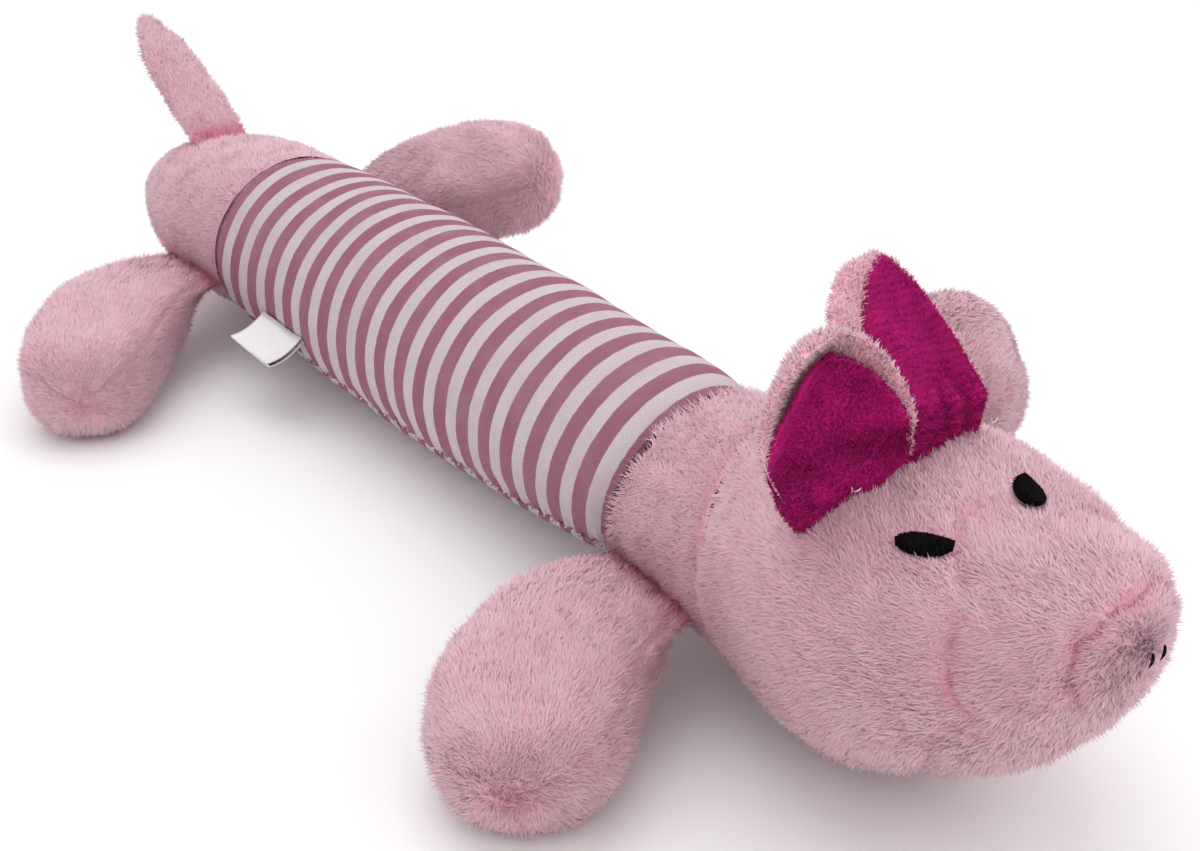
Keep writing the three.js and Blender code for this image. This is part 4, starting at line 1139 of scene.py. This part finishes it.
def head_relief(points, along, angle):
    muzzle, nose = seam_places(points)
    eye = in_eye(along, angle)
    uneven = 0.55 + 0.45 * ripple(points, 11, 14)
    pinch = creased(points, both_sides(PUCKER_LINES), PUCKER_WIDTH)
    tip = dent(np.linalg.norm(points - NOSE_MIDDLE, axis=1), *NOSE_TIP)
    lumps = lumpy(points, HEAD_LUMPS, 11) * smoothed((eye - 0.9) / 0.9)
    seams = uneven * (dent(muzzle, *MUZZLE_SEAM) + dent(nose, *NOSE_SEAM))
    ahead = COLLAR_Y - points[:, 1]
    collar = dent(ahead - 2.5, *COLLAR_RIDGE) - dent(ahead, *COLLAR_SEAM)
    height = lumps - seams - PUCKER_DEPTH * pinch + tip + collar
    # Painted shade in the seams and the puckers
    fold = uneven * (dent(muzzle, *SEAM_SHADE) + dent(nose, *SEAM_SHADE)) + PUCKER_SHADE * pinch
    pile = 1 - dent(muzzle, *SEAM_WEAR) - dent(nose, *SEAM_WEAR) - PUCKER_WEAR * pinch
    return height, fold, np.where(eye < 1.0, 0, pile)


def make_head():
    whole = wrapped(cut_ends(88, end=False), 150, head_surface)
    parts = {"head": ("head_skin", "head_filling"), "muzzle": ("muzzle_skin",), "nose_patch": ("nose_pad",)}
    for seed, (name, nodes) in enumerate(parts.items()):
        bm = whole.copy()
        bm.faces.ensure_lookup_table()
        muzzle, nose = seam_places(np.array([f.calc_center_median() for f in bm.faces]) / MM)
        part = np.where(muzzle < 0, 0, np.where(nose < 0, 1, 2))
        outside = [bm.faces[i] for i in np.flatnonzero(part != seed)]
        bmesh.ops.delete(bm, geom=outside, context="FACES")
        piece = shaped(name, bm, head_surface, head_relief, 1.3, nap=-1, grain=0.4, seed=20)
        points = read(piece.data, "position", 3) / MM
        write(piece.data, "stain", dent(np.linalg.norm(points - SMUDGE_MIDDLE, axis=1), SMUDGE_WIDTH))
        brushed(piece, seed=31 + 10 * seed)
        dress(piece, coral_fleece, nodes)
    whole.free()


def root_crease(points, names, half):
    """How near points on the trunk are to the seams where limbs are sewn on, which are twice half long."""
    lines = []
    for name in names:
        place, axis = joint_frame(name)
        lines.append((place - half * axis, place + half * axis))
    return creased(points, lines, ROOT_CREASE_WIDTH)


def chest_run(along):
    """How far along the chest a row is. It runs on a little inside the head."""
    return along * (CHEST_LENGTH + 2.8)


def chest_relief(points, along, angle):
    run = chest_run(along)
    past = run - CHEST_LENGTH
    roots = root_crease(points, ("right_front_leg", "left_front_leg"), LEG_SEAM_HALF)
    height = lumpy(points, CHEST_LUMPS, 13) + (dent(run, *NECK_RIDGE) - 0.25 * smoothed((past + 3) / 3.5))
    # Painted shade at the neck seam, under the head's rim and round the front legs' roots
    fold = dent(run, *NECK_SHADE) + 0.2 * smoothed((past + 2.5) / 3) + ROOT_SHADE * roots
    # Pile is longest at the neck, as a fringe over the sleeve, and there is none inside the head
    return height, fold, np.where(past > 0.4, 0, 0.8 + 0.7 * dent(run, 1.6))


def make_chest():
    def surface(along, angle):
        return chest_surface(chest_run(along) / CHEST_LENGTH, angle)

    bm = wrapped(cut_ends(38), 130, surface)
    piece = shaped("chest", bm, surface, chest_relief, 1.1, nap=-1, grain=0.9, seed=41)
    brushed(piece, seed=42, stray=0.9, lean=1.5)
    dress(piece, coral_fleece, ("chest_skin", "chest_filling"))


def rump_relief(points, along, angle):
    roots = root_crease(points, ("right_rear_leg", "left_rear_leg"), LEG_SEAM_HALF)
    # Painted shade at the seam with the sleeve and round the roots of the legs and the tail
    fold = dent(rump_share(along) * RUMP_LENGTH, *HIP_SHADE) + ROOT_SHADE * roots
    fold = fold + ROOT_SHADE * root_crease(points, ("tail",), TAIL_SEAM_HALF)
    return lumpy(points, RUMP_LUMPS, 15), fold, np.full(len(points), 0.95)


def make_rump():
    bm = wrapped(cut_ends(54, end=False), 130, rump_surface)
    piece = shaped("rump", bm, rump_surface, rump_relief, 1.2, grain=0.9, seed=43)
    brushed(piece, seed=44, lean=2.4, stray=0.9)
    dress(piece, coral_fleece, ("rump_skin", "rump_filling"))


def leg_relief(points, along, angle, foot):
    share = leg_share(along)
    # The top panel is sewn to the sole a little above the widest line
    off = np.abs(np.arcsin(np.abs(np.sin(angle))) - 0.5) * np.where(np.sin(angle) > 0, 1, 9)
    seam = dent(off * 12, 1.1) * smoothed(share / 0.15)
    pinch = dent(np.linalg.norm((points - foot) * (1, 1, 1.6), axis=1), 1.6)
    gathers = np.sin(angle * 9 + 2 * ripple(points, 12, 19)) * dent(share * LEG_REACH, 6)
    height = lumpy(points, LEG_LUMPS, 17) - 0.3 * seam - 0.7 * pinch + 0.2 * gathers
    # Painted shade round the root and along the leg, with more in the seam and in the pinch at the foot
    roots = dent((share + 0.07) * LEG_REACH, *LEG_ROOT_SHADE) + dent(share * LEG_REACH, *LEG_SHADE)
    return height, 0.15 * seam + 0.35 * pinch + roots, 1.1 - 0.15 * seam - 0.2 * pinch


def make_leg(name):
    surface = leg_surface(name)
    seed = 50 + 3 * list(LEGS).index(name)
    foot = surface(np.array(1.0), np.array(0.0))

    def relief(points, along, angle):
        return leg_relief(points, along, angle, foot)

    bm = wrapped(cut_ends(60, end=False), 116, surface)
    # One leg's pile was brushed towards its foot, the others' towards the trunk
    piece = shaped(name, bm, surface, relief, 1.0, nap=1 if name == "left_front_leg" else -1, seed=seed)
    brushed(piece, seed=seed + 1)
    nodes = (name + "_skin", name + "_filling")
    dress(piece, coral_fleece, nodes, name, bend_of(surface, 0.03, 0.3))


def make_legs():
    for name in LEGS:
        make_leg(name)


def tail_relief(points, along, angle):
    # Painted shade round the root, where the tail meets the rump
    fold = dent(tail_share(along) * TAIL_LENGTH + 4, *TAIL_ROOT_SHADE)
    return lumpy(points, TAIL_LUMPS, 19), fold, np.full(len(points), 1.0)


def make_tail():
    bm = wrapped(cut_ends(44, end=False), 70, tail_surface)
    piece = shaped("tail", bm, tail_surface, tail_relief, 0.5, seed=70)
    brushed(piece, seed=71, lean=1.8, stray=0.9)
    bend = bend_of(tail_surface, 0.05, 0.25)
    dress(piece, coral_fleece, ("tail_skin", "tail_filling"), "tail", bend)


def make_ear(name):
    """The ear's plush back, which is seen as a rim from the front, and the velour lining sewn into it."""
    seed = 80 + 10 * list(EARS).index(name)
    ribbed, folded = EARS[name]["ribbed"], EARS[name]["folded"]
    place, _ = joint_frame(name)

    def back_surface(along, angle):
        across, height = leaf_place(along, angle)
        puff = rounded(np.abs(np.sin(angle)), 2.6) * smoothed((1.03 - height) / 0.12)
        return ear_leaf(name, "", across, height, puff * np.where(np.sin(angle) < 0, -1.1, 2.0))

    def lining_surface(along, angle):
        across, height = leaf_place(along, angle)
        puff = rounded(np.abs(np.sin(angle)), 2.6) * smoothed((1.03 - height) / 0.1)
        pleats = 0.6 * ribbed * np.sin(across * 14) * dent(height, 0.34) * smoothed(across + 0.6)
        depth = np.where(np.sin(angle) < 0, -1.7 * puff, -0.3) - 0.3 + pleats
        return ear_leaf(name, "lining_", across, height, depth)

    # The back needs no pile where the lining hides it
    edges = [smooth_curve(EARS[name][key]) for key in ("lining_outer", "lining_inner")]
    outline = np.vstack([edges[0], edges[1][::-1]])
    outline = lerp(outline.mean(0), outline, 0.94)

    def back_relief(points, along, angle):
        across, height = leaf_place(along, angle)
        local = (points - place) @ ear_turn(name) * (EARS[name]["side"], 1, 1)
        hidden = (np.sin(angle) < 0.02) & inside(outline, local[:, (0, 2)])
        # The folded ear's velour reaches the edge near the head
        worn = folded * smoothed((across - 0.6) / 0.3) * smoothed((0.42 - height) / 0.15)
        pile = 0.85 - 0.6 * worn * (np.sin(angle) < 0.5)
        # The second value is painted shade along the ear's base
        return lumpy(points, EAR_LUMPS, 23), 0.2 * dent(height * 25, 2.0), np.where(hidden, 0, pile)

    def lining_relief(points, along, angle):
        across, height = leaf_place(along, angle)
        # Painted shade in the fold near the base and between the pleats
        crease = folded * dent((height - 0.17 - 0.05 * across) * 25, 1.6)
        pleats = ribbed * np.maximum(np.sin(across * 14), 0) * dent(height, 0.32) * smoothed(across + 0.6)
        ridge = 0.5 * folded * dent((across + 0.25) * 12, 3.5)
        fold = 0.5 * crease + 0.5 * pleats
        return lumpy(points, LINING_LUMPS, 24) + ridge, fold, np.where(np.sin(angle) < 0.1, 1, 0)

    up = ear_turn(name) @ np.array([0, 0, 1])
    bend = (place - up, place + 7 * up)
    bm = wrapped(cut_ends(50, end=False), 120, back_surface)
    back = shaped(name + "_plush", bm, back_surface, back_relief, 0.2, seed=seed)
    brushed(back, seed=seed + 1, length=1.4, softness=0.35, lean=0.9)
    dress(back, coral_fleece, (name + "_back",), name, bend)

    bm = wrapped(cut_ends(60, end=False), 130, lining_surface)
    lining = shaped(name + "_velour", bm, lining_surface, lining_relief, 0, seed=seed + 5)
    _, height = leaf_place(read(lining.data, "along", 1), 0)
    write(lining.data, "rib", EAR_RIB_SPAN * height)
    write(lining.data, "ribbed", np.full(len(height), float(ribbed)))
    with_pile(lining, 14, 0.75, 0.21, seed + 6, lean=1.0, stray=0.5, softness=0.8)
    dress(lining, cotton_velour, (name + "_lining",), name, bend)


def make_ears():
    for name in EARS:
        make_ear(name)


def sleeve_run(along):
    """How far along the sleeve a row is. It runs on a little inside the rump."""
    return along * (SLEEVE_LENGTH + 2)


def sleeve_relief(points, along, angle):
    run = sleeve_run(along)
    # How far round the sleeve the closing seam is
    off = np.abs((angle - math.radians(CLOSING_ANGLE) + math.pi) % TURN - math.pi) * 20
    waves = np.sin(run * TURN / CLOSING_PUCKER_PITCH + 1.5 * ripple(points, 9, 28))
    tucked = dent(np.maximum(run - 1.5, 0), *NECK_TUCK)
    tucked = tucked + dent(np.maximum(SLEEVE_LENGTH + 1 - run, 0), *RUMP_TUCK)
    seam = waves * dent(off, *CLOSING_PUCKER) - dent(off, *CLOSING_SEAM)
    # Painted shade along the closing seam, and at the neck where the sleeve runs in under the chest's fringe
    fold = dent(off, *CLOSING_SHADE) + dent(run, *SLEEVE_SHADE)
    return lumpy(points, SLEEVE_LUMPS, 25) + seam - tucked, fold, np.zeros(len(points))


def make_sleeve():
    def surface(along, angle):
        return sleeve_surface(sleeve_run(along) / SLEEVE_LENGTH, angle)

    bm = wrapped(cut_ends(300, tuck=0.004), 220, surface)
    piece = shaped("sleeve", bm, surface, sleeve_relief, 0, seed=27)
    # The ends of dark bands show at the neck and at the rump
    run = np.minimum(sleeve_run(read(piece.data, "along", 1)), SLEEVE_LENGTH - 0.3)
    write(piece.data, "course", run - 3.4)
    piece.data.shade_smooth()
    nodes = ("torso_sleeve", "torso_filling_front", "torso_filling_rear")
    dress(piece, knitted_jersey, nodes)


def make_face():
    """The eyes, embroidered in threads side by side over a low pad, and the nostrils, two stitches each."""
    for name, (share, _, turned, half_length, half_height) in EYES.items():
        middle, width = eye_angle(name)
        turned = math.radians(turned)

        def on_eye(run, high, height):
            across = run * math.cos(turned) - high * math.sin(turned)
            ahead = run * math.sin(turned) + high * math.cos(turned)
            return on_head(share + ahead / HEAD_LENGTH, middle + across / width, height)

        bm = bmesh.new()
        bmesh.ops.create_uvsphere(bm, u_segments=40, v_segments=20, radius=1)
        local = np.array([v.co for v in bm.verts])
        run = local[:, 0] * half_length * 0.97
        high = local[:, 1] * half_height * 0.92
        place = on_eye(run, high, np.where(local[:, 2] > 0, 0.7, 0.9) * local[:, 2] - 0.75)
        for vert, point in zip(bm.verts, place * MM):
            vert.co = point
        bmesh.ops.recalc_face_normals(bm, faces=bm.faces)
        draw = np.random.RandomState(7)
        for run in np.linspace(-1, 1, EYE_THREADS) * half_length * 0.98:
            reach = half_height * math.sqrt(1 - (run / half_length) ** 2) + draw.uniform(0, 0.2)
            lean = draw.uniform(-0.15, 0.15)
            tips = [on_eye(run + side * lean, side * reach, np.array(-0.7)) for side in (-1, 1)]
            low, top = (on_eye(run, 0.0, np.array(h)) for h in (-0.75, 0.15))
            centre = (tips[0] + tips[1]) / 2
            rise = float(np.linalg.norm(top - centre)) * 0.85
            add_thread(bm, centre, tips[1] - tips[0], top - low, 2 * reach, EYE_THREAD, rise)
        add_plain(name + "_stitches", bm, black_rayon_thread, (name,))
    for name in ("left_nostril", "right_nostril"):
        low, high = (np.array(c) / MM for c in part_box(name))
        bm = bmesh.new()
        for shift, length in ((-0.22, 2.6), (0.12, 2.2)):
            middle = (low + high) / 2 + (shift, 0.3, 0)
            add_thread(bm, middle, (0.1 * shift, 0, 1), (0, -1, 0), length, NOSTRIL_THREAD, 0.25)
        add_plain(name + "_stitches", bm, black_rayon_thread, (name,))


def make_label():
    """A loop of ribbon, sewn into the side of the sleeve and bare of print."""
    bm = bmesh.new()
    bm.loops.layers.uv.new(UV_NAME)
    bmesh.ops.create_grid(bm, x_segments=30, y_segments=50, size=0.5, calc_uvs=True)
    local = np.array([v.co for v in bm.verts]) + (0.5, 0.5, 0)
    run = local[:, 1] * 2 - 1
    out = LABEL_LENGTH * (1 - np.abs(run) ** 6)
    arch = 2.6 * np.sin(math.pi * local[:, 0]) * np.clip(1 - np.abs(run) ** 3, 0, 1)
    rise = 0.55 * np.sign(run) * np.minimum(np.abs(run) * 5, 1) + arch + 0.6 * np.sin(local[:, 0] * 5)
    rise = rise - 2.2 * (out / LABEL_LENGTH) ** 3
    angle = math.radians(LABEL_ANGLE)
    share = (LABEL_Y / HALF_SLEEVE + 1) / 2
    root = sleeve_surface(np.array(share), np.array(angle))
    droop = math.pi + math.radians(LABEL_DROOP)
    x = root[0] + out * math.cos(droop) - rise * math.sin(droop)
    z = root[2] + out * math.sin(droop) + rise * math.cos(droop)
    y = LABEL_Y + (local[:, 0] - 0.5) * LABEL_WIDTH
    for vert, point in zip(bm.verts, np.stack((x, y, z), -1) * MM):
        vert.co = point
    bmesh.ops.solidify(bm, geom=bm.faces[:], thickness=LABEL_PLY * MM)
    bmesh.ops.recalc_face_normals(bm, faces=bm.faces)
    piece = add_plain("care_label_loop", bm, woven_satin, ("care_label",))


def make_closing_stitches():
    """Hand stitches that whip the sleeve's long seam shut, each laid slantwise over it."""
    bm = bmesh.new()
    angle = math.radians(CLOSING_ANGLE)
    draw = np.random.RandomState(5)
    for place in np.linspace(0.012, 0.988, CLOSING_STITCHES):
        place = place + draw.uniform(-0.001, 0.001)
        steps = ((0, 0), (0.001, 0), (0, 0.001))
        point, ahead, beside = (sleeve_surface(np.array(place + a), np.array(angle + b)) for a, b in steps)
        run = (ahead - point) / np.linalg.norm(ahead - point)
        around = (beside - point) / np.linalg.norm(beside - point)
        lift = point - sleeve_surface(np.array(place), np.linspace(0, TURN, 12, endpoint=False)).mean(0)
        way = 0.75 * around + draw.uniform(0.4, 0.9) * run
        sunk = point - 0.25 * lift / np.linalg.norm(lift)
        add_thread(bm, sunk, way, lift, draw.uniform(1.7, 2.5), CLOSING_THREAD, 0.2)
    add_plain("closing_stitches", bm, mauve_overlock_thread, ("closing_seam",))


# Places where a sewing thread's end was left, the way that it points and its length, in millimetres
THREAD_ENDS = [
    ((-17.4, -110.2, 50.0), (-0.3, -0.6, 1.0), 2.6),
    ((-16.6, -110.8, 50.2), (0.8, -0.3, 0.3), 1.6),
    ((11.8, -110.6, 50.0), (0.1, -0.2, 1.0), 2.8),
    ((12.5, -110.8, 50.6), (0.9, -0.3, 0.5), 1.8),
]


def make_thread_ends():
    """The cut ends of white sewing thread that stand out at the ears' seams."""
    bm = bmesh.new()
    for place, way, length in THREAD_ENDS:
        add_thread(bm, place, way, (0, -1, 0.2), length, LOOSE_THREAD, 0.5)
    add_plain("thread_ends", bm, white_sewing_thread, ())


def finish_squeaker():
    for name in ("squeaker_bulb", "squeaker_reed"):
        mesh = frame["nodes"][name].data
        mesh.materials.clear()
        mesh.materials.append(made_of(blow_moulded_vinyl))


def make_stage():
    bm = bmesh.new()
    bmesh.ops.create_grid(bm, x_segments=1, y_segments=1, size=FLOOR_HALF)
    floor = add_object("floor", mesh_from("floor", bm))
    floor.data.materials.append(made_of(white_paper))

    world = bpy.data.worlds.new("soft_studio")
    bpy.context.scene.world = world
    world.use_nodes = True
    background = world.node_tree.nodes["Background"]
    background.inputs["Color"].default_value = (1, 1, 1, 1)
    background.inputs["Strength"].default_value = WORLD_STRENGTH

    for name, (place, power) in LAMPS.items():
        lamp = bpy.data.lights.new(name, "AREA")
        lamp.energy, lamp.size = power, LAMP_SIZE
        holder = add_object(name, lamp)
        holder.location = place
        holder.rotation_euler = (-Vector(place)).to_track_quat("-Z", "Y").to_euler()

    view = bpy.data.cameras.new("camera")
    view.sensor_width, view.lens = CAMERA_SENSOR, CAMERA_LENS
    view.clip_start, view.clip_end = 0.01, 20
    camera = add_object("camera", view)
    sight = Vector((
        math.cos(CAMERA_PITCH) * math.sin(CAMERA_YAW),
        math.cos(CAMERA_PITCH) * math.cos(CAMERA_YAW),
        math.sin(CAMERA_PITCH),
    ))
    right = Vector((math.cos(CAMERA_YAW), -math.sin(CAMERA_YAW), 0))
    up = right.cross(sight)
    tilted = Matrix((
        math.cos(CAMERA_ROLL) * right + math.sin(CAMERA_ROLL) * up,
        -math.sin(CAMERA_ROLL) * right + math.cos(CAMERA_ROLL) * up,
        -sight,
    )).transposed()
    camera.matrix_world = Matrix.Translation(Vector(CAMERA_PLACE) * MM) @ tilted.to_4x4()
    bpy.context.scene.camera = camera
    bpy.context.scene.view_settings.view_transform = "Standard"


# Operators, panel and run


class PLUSHPIG_OT_stage(bpy.types.Operator):
    """Sets up the floor, the lamps and the camera."""

    bl_idname = "plush_pig.stage"
    bl_label = "Stage"

    def execute(self, context):
        make_stage()
        return {"FINISHED"}


class PLUSHPIG_OT_head(bpy.types.Operator):
    """Makes the head, the muzzle and the nose pad."""

    bl_idname = "plush_pig.head"
    bl_label = "Head"

    def execute(self, context):
        make_head()
        return {"FINISHED"}


class PLUSHPIG_OT_chest(bpy.types.Operator):
    """Makes the chest between the head and the sleeve."""

    bl_idname = "plush_pig.chest"
    bl_label = "Chest"

    def execute(self, context):
        make_chest()
        return {"FINISHED"}


class PLUSHPIG_OT_sleeve(bpy.types.Operator):
    """Makes the striped jersey sleeve."""

    bl_idname = "plush_pig.sleeve"
    bl_label = "Sleeve"

    def execute(self, context):
        make_sleeve()
        return {"FINISHED"}


class PLUSHPIG_OT_rump(bpy.types.Operator):
    """Makes the rump."""

    bl_idname = "plush_pig.rump"
    bl_label = "Rump"

    def execute(self, context):
        make_rump()
        return {"FINISHED"}


class PLUSHPIG_OT_legs(bpy.types.Operator):
    """Makes the four legs."""

    bl_idname = "plush_pig.legs"
    bl_label = "Legs"

    def execute(self, context):
        make_legs()
        return {"FINISHED"}


class PLUSHPIG_OT_ears(bpy.types.Operator):
    """Makes the ears and their linings."""

    bl_idname = "plush_pig.ears"
    bl_label = "Ears"

    def execute(self, context):
        make_ears()
        return {"FINISHED"}


class PLUSHPIG_OT_tail(bpy.types.Operator):
    """Makes the tail."""

    bl_idname = "plush_pig.tail"
    bl_label = "Tail"

    def execute(self, context):
        make_tail()
        return {"FINISHED"}


class PLUSHPIG_OT_face(bpy.types.Operator):
    """Makes the embroidered eyes and nostrils."""

    bl_idname = "plush_pig.face"
    bl_label = "Face"

    def execute(self, context):
        make_face()
        return {"FINISHED"}


class PLUSHPIG_OT_label(bpy.types.Operator):
    """Makes the bare ribbon label."""

    bl_idname = "plush_pig.label"
    bl_label = "Label"

    def execute(self, context):
        make_label()
        return {"FINISHED"}


class PLUSHPIG_OT_closing(bpy.types.Operator):
    """Makes the stitches that close the sleeve."""

    bl_idname = "plush_pig.closing"
    bl_label = "Closing stitches"

    def execute(self, context):
        make_closing_stitches()
        return {"FINISHED"}


class PLUSHPIG_OT_threads(bpy.types.Operator):
    """Makes the loose thread ends at the ears."""

    bl_idname = "plush_pig.threads"
    bl_label = "Thread ends"

    def execute(self, context):
        make_thread_ends()
        return {"FINISHED"}


class PLUSHPIG_OT_squeaker(bpy.types.Operator):
    """Gives the squeaker its finish."""

    bl_idname = "plush_pig.squeaker"
    bl_label = "Squeaker"

    def execute(self, context):
        finish_squeaker()
        return {"FINISHED"}


OPERATORS = [
    PLUSHPIG_OT_stage,
    PLUSHPIG_OT_head,
    PLUSHPIG_OT_chest,
    PLUSHPIG_OT_sleeve,
    PLUSHPIG_OT_rump,
    PLUSHPIG_OT_legs,
    PLUSHPIG_OT_ears,
    PLUSHPIG_OT_tail,
    PLUSHPIG_OT_face,
    PLUSHPIG_OT_label,
    PLUSHPIG_OT_closing,
    PLUSHPIG_OT_threads,
    PLUSHPIG_OT_squeaker,
]


class PLUSHPIG_PT_pieces(bpy.types.Panel):
    bl_label = "Plush Pig"
    bl_space_type = "VIEW_3D"
    bl_region_type = "UI"
    bl_category = "Plush Pig"

    def draw(self, context):
        made = context.scene.plush_pig
        for name in made.bl_rna.properties.keys():
            if name not in ("rna_type", "name"):
                self.layout.prop(made, name)
        for kind in OPERATORS:
            self.layout.operator(kind.bl_idname)


CLASSES = [PlushSettings, *OPERATORS, PLUSHPIG_PT_pieces]


def register():
    for kind in CLASSES:
        bpy.utils.register_class(kind)
    bpy.types.Scene.plush_pig = bpy.props.PointerProperty(type=PlushSettings)


def unregister():
    del bpy.types.Scene.plush_pig
    for kind in reversed(CLASSES):
        bpy.utils.unregister_class(kind)


def main():
    register()
    for kind in OPERATORS:
        getattr(bpy.ops.plush_pig, kind.bl_idname.split(".")[1])()


if __name__ == "__main__":
    main()
